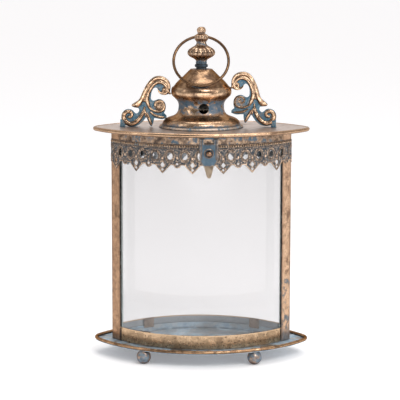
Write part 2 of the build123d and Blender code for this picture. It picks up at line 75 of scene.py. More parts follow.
def make_object(name, points_mm, faces, material, body, node):
    """A smooth mesh object from points in mm, riding on a body, that stands for a CAD node."""
    mesh = bpy.data.meshes.new(name)
    points = np.asarray(points_mm, float) * MM
    mesh.from_pydata(points.tolist(), [], [list(map(int, face)) for face in faces])
    mesh.validate()
    mesh.polygons.foreach_set("use_smooth", [True] * len(mesh.polygons))
    mesh.update()
    made = add_object(name, mesh)
    made.data.materials.append(material)
    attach(made, body)
    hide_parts(node)
    return made


def surface_nets(field, origin, step):
    """Points and quads of the surface where a sampled field changes sign; it is positive inside."""
    field = np.asarray(field, np.float32)
    inside = field > 0
    shape = np.array(field.shape)
    corners = [(a, b, c) for a in (0, 1) for b in (0, 1) for c in (0, 1)]

    def block(values, corner):
        return values[tuple(slice(d, n - 1 + d) for d, n in zip(corner, shape))]

    count = sum(block(inside, corner).astype(np.int8) for corner in corners)
    active = (count > 0) & (count < 8)
    cells = np.argwhere(active)
    total = np.zeros((len(cells), 3))
    crossings = np.zeros(len(cells))
    for low in corners:
        for axis in range(3):
            if low[axis]:
                continue
            high = tuple(v + (k == axis) for k, v in enumerate(low))
            va = block(field, low)[active]
            vb = block(field, high)[active]
            cut = (va > 0) != (vb > 0)
            crossing = np.tile(np.array(low, float), (cut.sum(), 1))
            crossing[:, axis] += va[cut] / (va[cut] - vb[cut])
            total[cut] += crossing
            crossings[cut] += 1
    points = (cells + total / crossings[:, None]) * np.array(step) + np.array(origin)
    number = -np.ones(active.shape, int)
    number[active] = np.arange(len(cells))
    faces = []
    for axis in range(3):
        u, v = (axis + 1) % 3, (axis + 2) % 3
        low_cut = [slice(1, -1)] * 3
        high_cut = [slice(1, -1)] * 3
        low_cut[axis], high_cut[axis] = slice(0, -1), slice(1, None)
        first, second = inside[tuple(low_cut)], inside[tuple(high_cut)]
        for flipped in (False, True):
            corner = np.argwhere(~first & second if flipped else first & ~second)
            corner[:, [u, v]] += 1
            ring = []
            for du, dv in ((-1, -1), (0, -1), (0, 0), (-1, 0)):
                cell = corner.copy()
                cell[:, u] += du
                cell[:, v] += dv
                ring.append(number[tuple(cell.T)])
            faces.append(np.stack(ring[::-1] if flipped else ring, axis=1))
    faces = np.concatenate(faces)
    return points, faces[(faces >= 0).all(axis=1)]


def smooth_line(points, per_span):
    """A Catmull-Rom line through points, which may carry more than two values each."""
    p = np.array(points, float)
    p = np.vstack([2 * p[0] - p[1], p, 2 * p[-1] - p[-2]])
    t = np.linspace(0, 1, per_span, endpoint=False)[:, None]
    out = []
    for a, b, c, d in zip(p, p[1:], p[2:], p[3:]):
        square = 2 * a - 5 * b + 4 * c - d
        cube = 3 * b - a - 3 * c + d
        out.append(0.5 * (2 * b + (c - a) * t + square * t**2 + cube * t**3))
    out.append(p[-2][None])
    return np.vstack(out)


def lathe(rows, segments, radius_at=None, close=True):
    """Points and faces of a turned form from (radius, z) rows; radius_at may vary a radius round the turn."""
    angles = np.linspace(0, 2 * math.pi, segments, endpoint=False)
    points, faces = [], []
    for row in rows:
        radii = np.full(segments, row[0]) if radius_at is None else radius_at(row, angles)
        level = np.full(segments, row[1])
        points.append(np.stack([radii * np.cos(angles), radii * np.sin(angles), level], 1))
    for i in range(len(rows) - 1):
        for j in range(segments):
            k = (j + 1) % segments
            faces.append([i * segments + j, i * segments + k, (i + 1) * segments + k, (i + 1) * segments + j])
    if close:
        faces.append(list(range(segments))[::-1])
        faces.append([(len(rows) - 1) * segments + j for j in range(segments)])
    return np.vstack(points), faces


def round_wire(path, radius, sides):
    """Points and faces of a wire along a path of 3-D points in mm that stays level."""
    path = np.array(path, float)
    along = np.gradient(path, axis=0)
    along /= np.linalg.norm(along, axis=1)[:, None]
    points, faces = [], []
    for spot, ahead in zip(path, along):
        side = np.cross(ahead, (0.0, 0.0, 1.0))
        side /= np.linalg.norm(side)
        top = np.cross(side, ahead)
        for j in range(sides):
            angle = 2 * math.pi * j / sides
            points.append(spot + radius * (math.cos(angle) * side + math.sin(angle) * top))
    for i in range(len(path) - 1):
        for j in range(sides):
            k = (j + 1) % sides
            faces.append([i * sides + j, (i + 1) * sides + j, (i + 1) * sides + k, i * sides + k])
    faces.append(list(range(sides)))
    faces.append([(len(path) - 1) * sides + j for j in range(sides)][::-1])
    return np.array(points), faces


def join(parts):
    """Several (points, faces) pairs as one."""
    points, faces, offset = [], [], 0
    for part_points, part_faces in parts:
        points.append(part_points)
        faces += [[i + offset for i in face] for face in part_faces]
        offset += len(part_points)
    return np.vstack(points), faces


# ---- material helpers
def map_range(tree, source, limits, kind="SMOOTHSTEP"):
    """A source mapped from the first two limits to the last two."""
    node = tree.nodes.new("ShaderNodeMapRange")
    node.interpolation_type = kind
    for name, value in zip(("From Min", "From Max", "To Min", "To Max"), limits):
        node.inputs[name].default_value = value
    tree.links.new(source, node.inputs["Value"])
    return node.outputs[0]


class Shade:
    """One material's nodes, wired to its Principled shader."""

    def __init__(self, name):
        self.mat = bpy.data.materials.new(name)
        self.mat.use_nodes = True
        self.tree = self.mat.node_tree
        self.bsdf = self.tree.nodes["Principled BSDF"]
        spot = self.node("TexCoord")
        self.place, self.normal = spot.outputs["Object"], spot.outputs["Normal"]

    def node(self, kind):
        return self.tree.nodes.new("ShaderNode" + kind)

    def wire(self, source, socket):
        if isinstance(source, bpy.types.NodeSocket):
            self.tree.links.new(source, socket)
        else:
            socket.default_value = source

    def math(self, kind, a, b=0.0, clamp=False):
        node = self.node("Math")
        node.operation, node.use_clamp = kind, clamp
        self.wire(a, node.inputs[0])
        self.wire(b, node.inputs[1])
        return node.outputs[0]

    def plus(self, a, b, clamp=False):
        return self.math("ADD", a, b, clamp)

    def minus(self, a, b):
        return self.math("SUBTRACT", a, b)

    def times(self, a, b):
        return self.math("MULTIPLY", a, b)

    def most(self, a, b):
        return self.math("MAXIMUM", a, b)

    def vector(self, kind, a, b):
        """A vector product; a dot product gives its value."""
        node = self.node("VectorMath")
        node.operation = kind
        self.wire(a, node.inputs[0])
        self.wire(b, node.inputs[1])
        return node.outputs["Value" if kind == "DOT_PRODUCT" else "Vector"]

    def noise(self, size_mm, detail=3.0, rough=0.55, distort=0.0, stretch=None, seed=0.0):
        """A noise whose lumps are about size_mm across, near 0 to 1."""
        node = self.node("Mapping")
        node.inputs["Location"].default_value = (seed, seed * 0.7, seed * 1.3)
        if stretch:
            node.inputs["Scale"].default_value = stretch
        self.wire(self.place, node.inputs["Vector"])
        tex = self.node("TexNoise")
        tex.inputs["Scale"].default_value = 1 / (size_mm * MM)
        tex.inputs["Detail"].default_value = detail
        tex.inputs["Roughness"].default_value = rough
        tex.inputs["Distortion"].default_value = distort
        self.wire(node.outputs[0], tex.inputs["Vector"])
        return tex.outputs["Fac"]

    def step(self, value, low, high, out_low=0.0, out_high=1.0):
        """A smooth step of value from low to high."""
        return map_range(self.tree, value, (low, high, out_low, out_high))

    def between(self, value, low, high, soft):
        """1 where value lies from low to high, with soft ends."""
        begun = self.step(value, low - soft, low + soft)
        return self.times(begun, self.step(value, high - soft, high + soft, 1.0, 0.0))

    def mix(self, share, a, b):
        node = self.node("Mix")
        node.data_type = "RGBA"
        self.wire(share, node.inputs[0])
        for value, socket in ((a, node.inputs[6]), (b, node.inputs[7])):
            self.wire(value if isinstance(value, bpy.types.NodeSocket) else (*value, 1.0), socket)
        return node.outputs[2]

    def axis(self, name):
        node = self.node("SeparateXYZ")
        self.wire(self.place, node.inputs[0])
        return node.outputs[name]

    def axis_mm(self, name):
        return self.math("DIVIDE", self.axis(name), MM)

    def hollow(self, reach_mm, low, high):
        """1 in crevices narrower than reach_mm, 0 on open faces."""
        node = self.node("AmbientOcclusion")
        node.samples = 6
        node.inputs["Distance"].default_value = reach_mm * MM
        return self.step(node.outputs["AO"], low, high, 1.0, 0.0)

    def bump(self, height, strength, distance_mm):
        node = self.node("Bump")
        node.inputs["Strength"].default_value = strength
        node.inputs["Distance"].default_value = distance_mm * MM
        self.wire(height, node.inputs["Height"])
        return node.outputs[0]

    def finish(self, colour, rough, metallic, normal):
        inputs = {"Base Color": colour, "Roughness": rough, "Metallic": metallic, "Normal": normal}
        for name, source in inputs.items():
            self.wire(source, self.bsdf.inputs[name])
        return self.mat


BROWN = (0.13, 0.08, 0.055)
UMBER = (0.035, 0.026, 0.022)
BLUE = (0.085, 0.150, 0.205)
PALE_BLUE = (0.27, 0.34, 0.39)
SLATE = (0.06, 0.085, 0.105)
TONGUE_BRASS_LIFTED = (0.46, 0.355, 0.26)
# Tones of faces that look inwards; the band one is paler than the metal, painted light for the shaded inside
POST_INSIDE_TONE = (0.24, 0.28, 0.29)
BAND_INSIDE_LIFT = (0.36, 0.42, 0.46)
# How a metal tints what it reflects at grazing angles
EDGE_BROWN = (0.45, 0.32, 0.25)
EDGE_SOFT = (0.82, 0.76, 0.71)
EDGE_CLEAR = (1.0, 1.0, 1.0)
# A mesh attribute with how far a place of a raised ornament stands out, 0 to 1
RELIEF = "relief"


def relief_shade_and_ground(s, wander, fine, low, high, flank):
    """How much an ornament's flanks get painted shade and its ground is blue, from the relief on its mesh."""
    node = s.node("Attribute")
    node.attribute_name = RELIEF
    worn = s.plus(node.outputs["Fac"], s.times(wander, 0.7))
    worn = s.plus(worn, s.times(s.minus(fine, 0.5), 0.4))
    shaded = s.minus(s.step(worn, low, high), s.step(worn, high + 0.1, flank))
    return s.times(shaded, 0.8), s.step(worn, low, high, 1.0, 0.0)


def away_from_highlight_spot(s, height_mm, x, z, wide, high):
    """How far a place lies from a bare spot on the front, in the spot's half sizes; its bare copper is a
    painted highlight.
    """
    across = s.math("DIVIDE", s.minus(s.axis_mm("X"), x), wide)
    upward = s.math("DIVIDE", s.minus(height_mm, z), high)
    away = s.plus(s.times(across, across), s.times(upward, upward))
    return s.plus(away, s.step(s.axis("Y"), -0.01, 0.0, 0.0, 4.0))


def inner_side(s):
    """Near 1 on the faces that look towards the upright axis, and 0 on the others."""
    flat = s.vector("MULTIPLY", s.place, (1.0, 1.0, 0.0))
    return s.step(s.vector("DOT_PRODUCT", flat, s.normal), -0.002, 0.0, 0.92, 0.0)


def upright_edges(s, low_mm, high_mm):
    """1 along the two upright edges of a front face that runs from low_mm to high_mm in x."""
    middle, half = (low_mm + high_mm) / 2, (high_mm - low_mm) / 2
    off = s.math("ABSOLUTE", s.minus(s.axis_mm("X"), middle))
    facing = s.math("ABSOLUTE", s.vector("DOT_PRODUCT", s.normal, (0.0, 1.0, 0.0)))
    return s.times(s.step(off, half - 1.9, half - 0.7), s.step(facing, 0.3, 0.7))


def aged_metal(
    name, bright, mid, dark=BROWN, patina=BLUE, patina_two=PALE_BLUE, dark_from=0.5, patina_from=0.8,
    speck=0.3, fleck=0.5, hollow_reach=2.5, hollow=(0.45, 0.85), rough=(0.24, 0.42), relief=0.25, grain=None,
    low_patina=None, zones=(), shade_zones=(), bare_highlight_spots=(), glints=0.0, inside=None, inside_matte=0.0,
    pale_below=None, edges=None, underside_shade=0.7, top_edge_highlight=None, patch_mm=14.0, seed=0.0, relief_edges=None,
    flank=0.8, flank_shade_colour=UMBER, grazing=EDGE_BROWN,
):
    """Copper that has gone brown, blue in its hollows and bright where it is rubbed.

    Lengths are in mm. zones are (low, high, tone that the patina starts at), the bands of painted shade
    (low, high, strength) and the bare spots whose copper stands for a highlight (x, z, half width, half
    height).
    speck, fleck, glints, the inner faces' matte share and the shade on faces that look down are strengths.
    Crevices, faces that look down and ornament flanks get painted shade; glints and top edges painted
    highlights.
    """
    s = Shade(name)
    patch = s.noise(patch_mm, 4.0, 0.6, 0.4, seed=seed)
    tone = s.noise(patch_mm * 0.45, 5.0, 0.62, 0.2, seed=seed + 3.1)
    fine = s.noise(1.3, 3.0, 0.6, seed=seed + 5.7)
    ragged = s.noise(6.0, 5.0, 0.65, 0.3, seed=seed + 11.0)
    wander = s.minus(ragged, 0.5)
    height_mm = s.plus(s.axis_mm("Z"), s.times(wander, 14.0))

    # the bare metal: patches of bright, mid and dark, with flecks and grains
    colour = s.mix(s.step(tone, 0.36, 0.66), bright, mid)
    brownness = s.times(s.step(patch, dark_from, dark_from + 0.20), 0.85)
    colour = s.mix(brownness, colour, dark)
    flecks = s.step(s.noise(3.4, 5.0, 0.68, 0.3, seed=seed + 17.0), 0.50, 0.68)
    colour = s.mix(s.times(flecks, fleck), colour, dark)
    # painted shade: bands of height are darkened, such as the one under the chimney's belt
    for low, high, share in shade_zones:
        colour = s.mix(s.times(s.between(height_mm, low, high, 1), share), colour, dark)
    coarse = s.noise(1.9, 2.0, 0.5, seed=seed + 29.0)
    specks = s.times(s.most(s.step(coarse, 0.60, 0.69), s.step(fine, 0.60, 0.70)), speck)
    colour = s.mix(specks, colour, UMBER)

    # the patina: in patches, in crevices, low down, in zones and on the ground of an ornament
    crevice = s.hollow(hollow_reach, *hollow)
    blue_tone = s.mix(s.step(s.noise(5.0, 4.0, 0.6, seed=seed + 8.2), 0.35, 0.65), patina, patina_two)
    spread = s.plus(s.times(patch, -1.0), s.plus(1.0, s.times(wander, 0.6)))
    blue = s.step(spread, patina_from, patina_from + 0.14)
    blue = s.most(blue, s.times(crevice, s.step(ragged, 0.30, 0.52)))
    if low_patina:
        blue = s.most(blue, s.step(height_mm, *low_patina, 0.92, 0.0))
    for low, high, share in zones:
        within = s.between(height_mm, low, high, 2)
        blue = s.most(blue, s.times(within, s.step(tone, share, share + 0.14)))
    if relief_edges:
        shaded, ground = relief_shade_and_ground(s, wander, fine, *relief_edges, flank)
        # painted shade on the flanks of raised ornament
        colour = s.mix(shaded, colour, flank_shade_colour)
        blue = s.most(blue, ground)
    # painted highlight: patina is cleared round a spot, so its bare copper stands for a reflection
    for spot in bare_highlight_spots:
        blue = s.times(blue, s.step(away_from_highlight_spot(s, height_mm, *spot), 0.5, 1.3))
    colour = s.mix(blue, colour, blue_tone)

    # over both: dirt and painted shade in crevices, tones of inner faces (the pale ones painted light),
    # painted shade on faces that look down, dark upright edges, the tongue's paler tone, painted glints and
    # top-edge highlights
    crevice_dirt_and_shade = s.times(crevice, s.step(ragged, 0.70, 0.45))
    colour = s.mix(s.times(crevice_dirt_and_shade, 0.8), colour, UMBER)
    # faces that look inwards take a tone of their own and can be made matte; the pale tones on the bands,
    # gallery and retainers stand in for light that hardly reaches inside the case: painted light
    if inside:
        facing_in = inner_side(s)
        colour = s.mix(facing_in, colour, inside)
        blue = s.most(blue, s.times(facing_in, inside_matte))
    # painted shade: faces that look down are darkened towards the dark tone, less where there is patina
    down = s.step(s.vector("DOT_PRODUCT", s.normal, (0.0, 0.0, -1.0)), 0.1, 0.75)
    colour = s.mix(s.times(down, s.times(s.minus(1.0, blue), underside_shade)), colour, dark)
    if edges:
        colour = s.mix(s.times(upright_edges(s, *edges), 0.6), colour, dark)
    # the tongue below the bend takes a paler brass tone: its own tan, made paler as painted light where it
    # turns away
    if pale_below:
        colour = s.mix(s.step(height_mm, pale_below - 2, pale_below + 1, 0.9, 0.0), colour, TONGUE_BRASS_LIFTED)
    if glints:
        shine = s.step(s.noise(1.7, 2.0, 0.6, seed=seed + 23.0), 0.54, 0.64)
        colour = s.mix(s.times(shine, glints), colour, bright)
    # painted highlight: a bright line along the top edge of a part
    if top_edge_highlight:
        colour = s.mix(s.step(s.axis_mm("Z"), top_edge_highlight - 1.5, top_edge_highlight - 1.0), colour, bright)

    dull = s.most(s.most(blue, s.times(specks, 0.7)), s.times(brownness, 0.45))
    roughness = s.plus(s.step(tone, 0.3, 0.7, *rough), s.times(dull, 0.28), clamp=True)
    metallic = s.minus(1.0, s.times(blue, 0.72))
    height = s.plus(fine, s.times(s.noise(5.5, 3.0, 0.5, seed=seed + 2.2), 1.6))
    if grain:
        height = s.plus(height, s.times(s.noise(0.9, 2.0, 0.5, stretch=grain), 0.8))
    s.bsdf.inputs["Specular Tint"].default_value = (*grazing, 1.0)
    return s.finish(colour, roughness, metallic, s.bump(height, relief, 0.35))


def clear_glass():
    """Thin float glass that lets lamps through to what stands inside."""
    s = Shade("pane_glass")
    s.bsdf.inputs["Transmission Weight"].default_value = 1.0
    s.bsdf.inputs["IOR"].default_value = 1.48
    rough = s.step(s.noise(45.0, 2.0), 0.3, 0.7, 0.0, 0.02)
    s.finish((0.83, 0.826, 0.829, 1.0), rough, 0.0, s.bump(s.noise(70.0, 1.0, 0.4), 0.05, 0.5))
    clear = s.node("BsdfTransparent")
    clear.inputs["Color"].default_value = (0.99, 0.99, 0.99, 1.0)
    blend = s.node("MixShader")
    sources = (s.node("LightPath").outputs["Is Shadow Ray"], s.bsdf.outputs[0], clear.outputs[0])
    for source, socket in zip(sources, blend.inputs):
        s.wire(source, socket)
    s.wire(blend.outputs[0], s.tree.nodes["Material Output"].inputs["Surface"])
    return s.mat


# Each material by its short name; the first two colours are its bright and its middle tone
M = {"glass": clear_glass()}
M["post"] = aged_metal(
    "post_copper", (0.72, 0.485, 0.32), (0.56, 0.355, 0.23), dark=(0.2, 0.12, 0.08), patina_from=0.72,
    speck=0.45, fleck=0.6, rough=(0.28, 0.42), low_patina=(18, 42), patch_mm=16, seed=1.0,
    patina=(0.12, 0.135, 0.15), patina_two=(0.22, 0.23, 0.24), edges=RIGHT_POST, inside=POST_INSIDE_TONE,
    zones=((22, 96, 0.5),), grazing=EDGE_SOFT,
)
M["post_shaded"] = aged_metal(
    "post_shaded_copper", (0.5, 0.305, 0.185), (0.345, 0.205, 0.125), dark=(0.15, 0.095, 0.065),
    dark_from=0.55, speck=0.45, rough=(0.28, 0.42), low_patina=(8, 25), patch_mm=16, seed=1.6, patina=SLATE,
    patina_two=BLUE, edges=LEFT_POST, inside=POST_INSIDE_TONE, grazing=EDGE_SOFT,
)
# the band's inner faces take a pale tone as painted light for the shaded inside, and its top edge a painted
# highlight
M["band"] = aged_metal(
    "band_copper", (0.64, 0.455, 0.29), (0.44, 0.3, 0.185), dark=(0.22, 0.145, 0.09), dark_from=0.56,
    patina_from=0.92, speck=0.92, fleck=0.45, rough=(0.22, 0.34), seed=2.0, patch_mm=20, top_edge_highlight=BAND_TOP,
    inside=(0.36, 0.385, 0.405),
)
# inner faces take the pale inner tone and go matte: painted light for the shaded inside of the case
M["upper"] = aged_metal(
    "upper_band_copper", (0.53, 0.365, 0.24), (0.3, 0.205, 0.145), dark=(0.07, 0.055, 0.05), dark_from=0.46,
    patina_from=0.49, speck=0.5, fleck=0.6, patch_mm=9, patina_two=(0.14, 0.2, 0.25), seed=3.0,
    inside=BAND_INSIDE_LIFT, inside_matte=1.0,
)
M["lid"] = aged_metal(
    "lid_copper", (0.65, 0.52, 0.44), (0.53, 0.415, 0.35), dark=(0.3, 0.225, 0.185), dark_from=0.52,
    patina_from=0.78, patina=(0.25, 0.28, 0.3), patina_two=(0.36, 0.37, 0.38), speck=0.12, fleck=0.3,
    rough=(0.28, 0.4), hollow_reach=6, patch_mm=24, relief=0.12, underside_shade=0.3, seed=4.0,
    grazing=EDGE_CLEAR,
)
M["base_rim"] = aged_metal(
    "base_rim_copper", (0.56, 0.35, 0.2), (0.32, 0.185, 0.105), dark=(0.12, 0.075, 0.05), patina_from=0.92,
    speck=0.25, fleck=0.3, rough=(0.16, 0.28), relief=0.1, patch_mm=18, underside_shade=0.95, seed=5.0,
)
M["rim"] = aged_metal(
    "rim_copper", (0.64, 0.425, 0.27), (0.44, 0.28, 0.175), dark=(0.19, 0.115, 0.075), dark_from=0.52,
    patina_from=0.92, speck=0.25, fleck=0.25, rough=(0.18, 0.3), relief=0.1, patch_mm=18, underside_shade=0.95,
    seed=5.0, grazing=EDGE_SOFT,
)
M["bead"] = aged_metal(
    "bead_copper", (0.85, 0.62, 0.42), (0.6, 0.42, 0.28), dark=(0.18, 0.13, 0.1), patina_from=0.6,
    speck=0.6, fleck=0.8, rough=(0.2, 0.32), patch_mm=7, seed=5.4,
)
# painted shade on faces that look down and in a band under the belt, and a bare spot left of the vent as a
# painted highlight; the inside is dark
M["spun"] = aged_metal(
    "spun_copper", (0.72, 0.49, 0.315), (0.47, 0.3, 0.185), dark=(0.13, 0.075, 0.05), speck=0.15,
    fleck=0.35, rough=(0.17, 0.3), relief=0.1, shade_zones=((LID_TOP + 33.0, LID_TOP + 38.0, 0.35),),
    bare_highlight_spots=((-12.0, LID_TOP + 23.0, 10.5, 3.6),), hollow_reach=6, hollow=(0.12, 0.42),
    grain=(0.05, 0.05, 2.2), patch_mm=16, seed=6.0, underside_shade=0.3, patina=(0.075, 0.135, 0.195),
    patina_two=(0.16, 0.2, 0.24), inside=(0.075, 0.068, 0.055),
    zones=((LID_TOP + 18.5, LID_TOP + 35.5, 0.36), (LID_TOP - 2, LID_TOP + 5.0, 0.3)),
)
# the dome's copper is a darker copy of the chimney's, painted shade on a face that looks up at the bright sky
M["dome"] = aged_metal(
    "dome_copper_shaded", (0.49, 0.305, 0.18), (0.32, 0.19, 0.11), dark=(0.09, 0.055, 0.04), dark_from=0.48,
    patina_from=0.86, speck=0.2, fleck=0.4, rough=(0.16, 0.3), relief=0.1, grain=(0.05, 0.05, 2.2),
    seed=6.6,
)
M["flange"] = aged_metal(
    "flange_patina", (0.86, 0.64, 0.46), (0.6, 0.52, 0.46), dark=(0.12, 0.125, 0.135), patina_from=0.5,
    patch_mm=7, seed=7.0,
)
M["collar"] = aged_metal(
    "collar_slate", (0.1, 0.09, 0.09), (0.07, 0.08, 0.09), dark=(0.03, 0.035, 0.04),
    patina=(0.05, 0.075, 0.1), patina_two=(0.03, 0.04, 0.05), dark_from=0.45, patina_from=0.42, patch_mm=5,
    seed=7.7,
)
# the ornament's flanks carry painted shade and its glints are painted highlights
M["cast"] = aged_metal(
    "cast_copper", (0.8, 0.56, 0.37), (0.4, 0.25, 0.155), dark=(0.11, 0.07, 0.05), dark_from=0.56,
    patina_from=0.88, speck=0.6, fleck=0.8, hollow_reach=3.0, hollow=(0.3, 0.62), patch_mm=8,
    rough=(0.13, 0.27), seed=8.0, relief_edges=(0.02, 0.27), patina=(0.055, 0.145, 0.215),
    patina_two=(0.12, 0.235, 0.315), glints=0.25, flank=0.95, flank_shade_colour=(0.1, 0.065, 0.045),
)
M["finial"] = aged_metal(
    "finial_copper", (0.68, 0.48, 0.32), (0.4, 0.265, 0.175), dark_from=0.48, patina_from=0.88, speck=0.4,
    hollow_reach=3.5, hollow=(0.5, 0.9), rough=(0.16, 0.3), patch_mm=9, seed=9.0, patina=(0.07, 0.11, 0.15),
    patina_two=(0.14, 0.18, 0.21),
    zones=((LID_TOP + 66, LID_TOP + 82.5, 0.18), (LID_TOP + 100.5, LID_TOP + 104.5, 0.42)),
)
# ornament flanks carry painted shade, glints are painted highlights, inner faces a pale tone as painted light
M["lace"] = aged_metal(
    "lace_metal", (0.98, 0.72, 0.52), (0.64, 0.45, 0.32), dark=(0.11, 0.08, 0.06),
    patina=(0.035, 0.055, 0.075), patina_two=(0.125, 0.13, 0.135), relief=0.5, patina_from=0.66, speck=0.6,
    hollow_reach=1.6, hollow=(0.4, 0.88), rough=(0.24, 0.4), seed=10.0, inside=BAND_INSIDE_LIFT, inside_matte=1.0,
    relief_edges=(0.22, 0.6), flank=0.9, glints=0.5,
)
M["tray"] = aged_metal(
    "tray_patina", (0.52, 0.52, 0.51), (0.36, 0.43, 0.485), dark=(0.2, 0.265, 0.32),
    patina=(0.24, 0.34, 0.425), patina_two=(0.41, 0.5, 0.57), dark_from=0.62, patina_from=0.42, speck=0.1,
    fleck=0.15, hollow_reach=5, rough=(0.28, 0.42), patch_mm=26, grazing=EDGE_SOFT, seed=11.0,
)
M["tab"] = aged_metal(
    "tab_copper", (0.4, 0.29, 0.22), (0.27, 0.19, 0.14), dark=(0.14, 0.1, 0.08), dark_from=0.55,
    patina_from=0.9, rough=(0.34, 0.48), patch_mm=6, seed=11.7,
)
# the retainers' tones, and their inner faces more, are lifted above their own dark grey-green as painted
# light
M["retainer"] = aged_metal(
    "retainer_patina_lifted", (0.42, 0.42, 0.4), (0.37, 0.39, 0.385), dark=(0.28, 0.3, 0.3),
    patina=(0.34, 0.39, 0.39), patina_two=(0.44, 0.48, 0.475), dark_from=0.6, patina_from=0.2, speck=0.1,
    fleck=0.2, rough=(0.36, 0.5), seed=11.3, inside=(0.55, 0.59, 0.57), inside_matte=1.0, grazing=EDGE_CLEAR,
)
M["foot"] = aged_metal(
    "foot_patina", (0.54, 0.38, 0.28), (0.3, 0.24, 0.21), patina=(0.13, 0.16, 0.195),
    patina_two=(0.21, 0.27, 0.32), dark_from=0.6, patina_from=0.43, patch_mm=7, seed=12.0,
)
M["brass"] = aged_metal(
    "ring_brass", (0.2, 0.115, 0.062), (0.11, 0.064, 0.038), dark=(0.07, 0.045, 0.033), dark_from=0.58,
    patina_from=0.95, speck=0.15, fleck=0.3, rough=(0.22, 0.34), relief=0.1, seed=13.0,
)
M["knob"] = aged_metal(
    "knob_copper", (0.42, 0.26, 0.17), (0.28, 0.17, 0.11), dark_from=0.55, patina_from=0.9, speck=0.2,
    rough=(0.18, 0.3), patch_mm=6, seed=15.0,
)
# the tongue's paler tone is partly painted light, and the relief's flanks carry painted shade
M["hasp"] = aged_metal(
    "hasp_patina", (0.36, 0.28, 0.215), (0.24, 0.18, 0.14), dark=(0.08, 0.065, 0.06),
    patina=(0.075, 0.13, 0.18), patina_two=(0.13, 0.19, 0.24), dark_from=0.56, fleck=0.4, patch_mm=12,
    seed=14.0, relief_edges=(0.2, 0.5), pale_below=TONGUE_TOP,
)

# What each material covers, as the beginnings of node names; the longest one that fits a node counts
NODE_MATERIALS = {
    "glass": "glass", "tab": "glass_tab glass_clip", "post": "post_right", "post_shaded": "post_left",
    "retainer": "pane_retainer", "tray": "base_tray glass_seat", "base_rim": "base_rim", "foot": "foot",
    "band": "lower_band", "upper": "upper_band hinge_leaf", "lid": "lid_plate", "rim": "lid_rim",
    "spun": "chimney_bell hasp_knob", "dome": "chimney_dome", "flange": "chimney_ring",
    "collar": "finial_collar", "finial": "finial", "hasp": "hasp",
    "brass": "carry_ring hasp_pin hinge_pin finial_screw finial_washer",
    "lace": "gallery bead_wire", "cast": "scroll",
}
for name, obj in nodes.items():
    starts = [(start, key) for key, words in NODE_MATERIALS.items() for start in words.split()]
    longest = max((len(start), key) for start, key in starts if name.startswith(start))
    for slot in obj.material_slots:
        slot.material = M[longest[1]]


# ---- relief helpers
def segment_distance(gx, gz, start, end):
    """Distance from each grid place to a straight stretch, and how far along it (0 to 1) is nearest."""
    (ax, az), (bx, bz) = start, end
    dx, dz = bx - ax, bz - az
    t = np.clip(((gx - ax) * dx + (gz - az) * dz) / max(dx * dx + dz * dz, 1e-9), 0, 1)
    return np.hypot(gx - ax - t * dx, gz - az - t * dz), t


def line_distance(gx, gz, line):
    """Distance from each grid place to a line of (x, z, width) samples, and the width there."""
    best = np.full(gx.shape, 1e9)
    width = np.zeros(gx.shape)
    for start, end in zip(line, line[1:]):
        away, t = segment_distance(gx, gz, start[:2], end[:2])
        near = away < best
        best[near] = away[near]
        width[near] = (start[2] + t * (end[2] - start[2]))[near]
    return best, width


def inside_polygon(gx, gz, corners):
    """Signed distance to a polygon's edge, positive inside."""
    best = np.full(gx.shape, 1e9)
    odd = np.zeros(gx.shape, bool)
    for (ax, az), (bx, bz) in zip(corners, corners[1:] + corners[:1]):
        best = np.minimum(best, segment_distance(gx, gz, (ax, az), (bx, bz))[0])
        crossing_x = (bx - ax) * (gz - az) / (bz - az or 1e-9) + ax
        odd ^= ((az > gz) != (bz > gz)) & (gx < crossing_x)
    return np.where(odd, best, -best)


def ridge(distance, at, half_width):
    """A rounded ridge of height 1 where a distance is near at."""
    return np.sqrt(np.clip(1 - ((distance - at) / half_width) ** 2, 0, 1))


def knob(dx, dz, a, b):
    """A rounded knob of height 1 with half axes a and b."""
    return np.sqrt(np.clip(1 - ((dx / a) ** 2 + (dz / b) ** 2), 0, 1))


def ellipse(dx, dz, a, b):
    """Roughly the signed distance to an ellipse, positive outside."""
    return (np.hypot(dx / a, dz / b) - 1) * min(a, b)


def sheet_field(levels, height, outline):
    """A field of the sheet between 0 and a height over a grid, within an outline; positive inside."""
    level = levels[None, None, :]
    return np.minimum(np.minimum(level, height[:, :, None] - level), outline[:, :, None])


def paint_relief(made, values):
    """Stores one value per point on a mesh, for its material to read."""
    layer = made.data.attributes.new(RELIEF, "FLOAT", "POINT")
    layer.data.foreach_set("value", np.asarray(values, np.float32))


def sample(grid, first, step, points):
    """Bilinear values of a 2-D grid at points."""
    u = np.clip((points - np.array(first)) / np.array(step), 0, np.array(grid.shape) - 1.001)
    i, j = u.astype(int).T
    f, g = (u - u.astype(int)).T
    return (
        grid[i, j] * (1 - f) * (1 - g)
        + grid[i + 1, j] * f * (1 - g)
        + grid[i, j + 1] * (1 - f) * g
        + grid[i + 1, j + 1] * f * g
    )


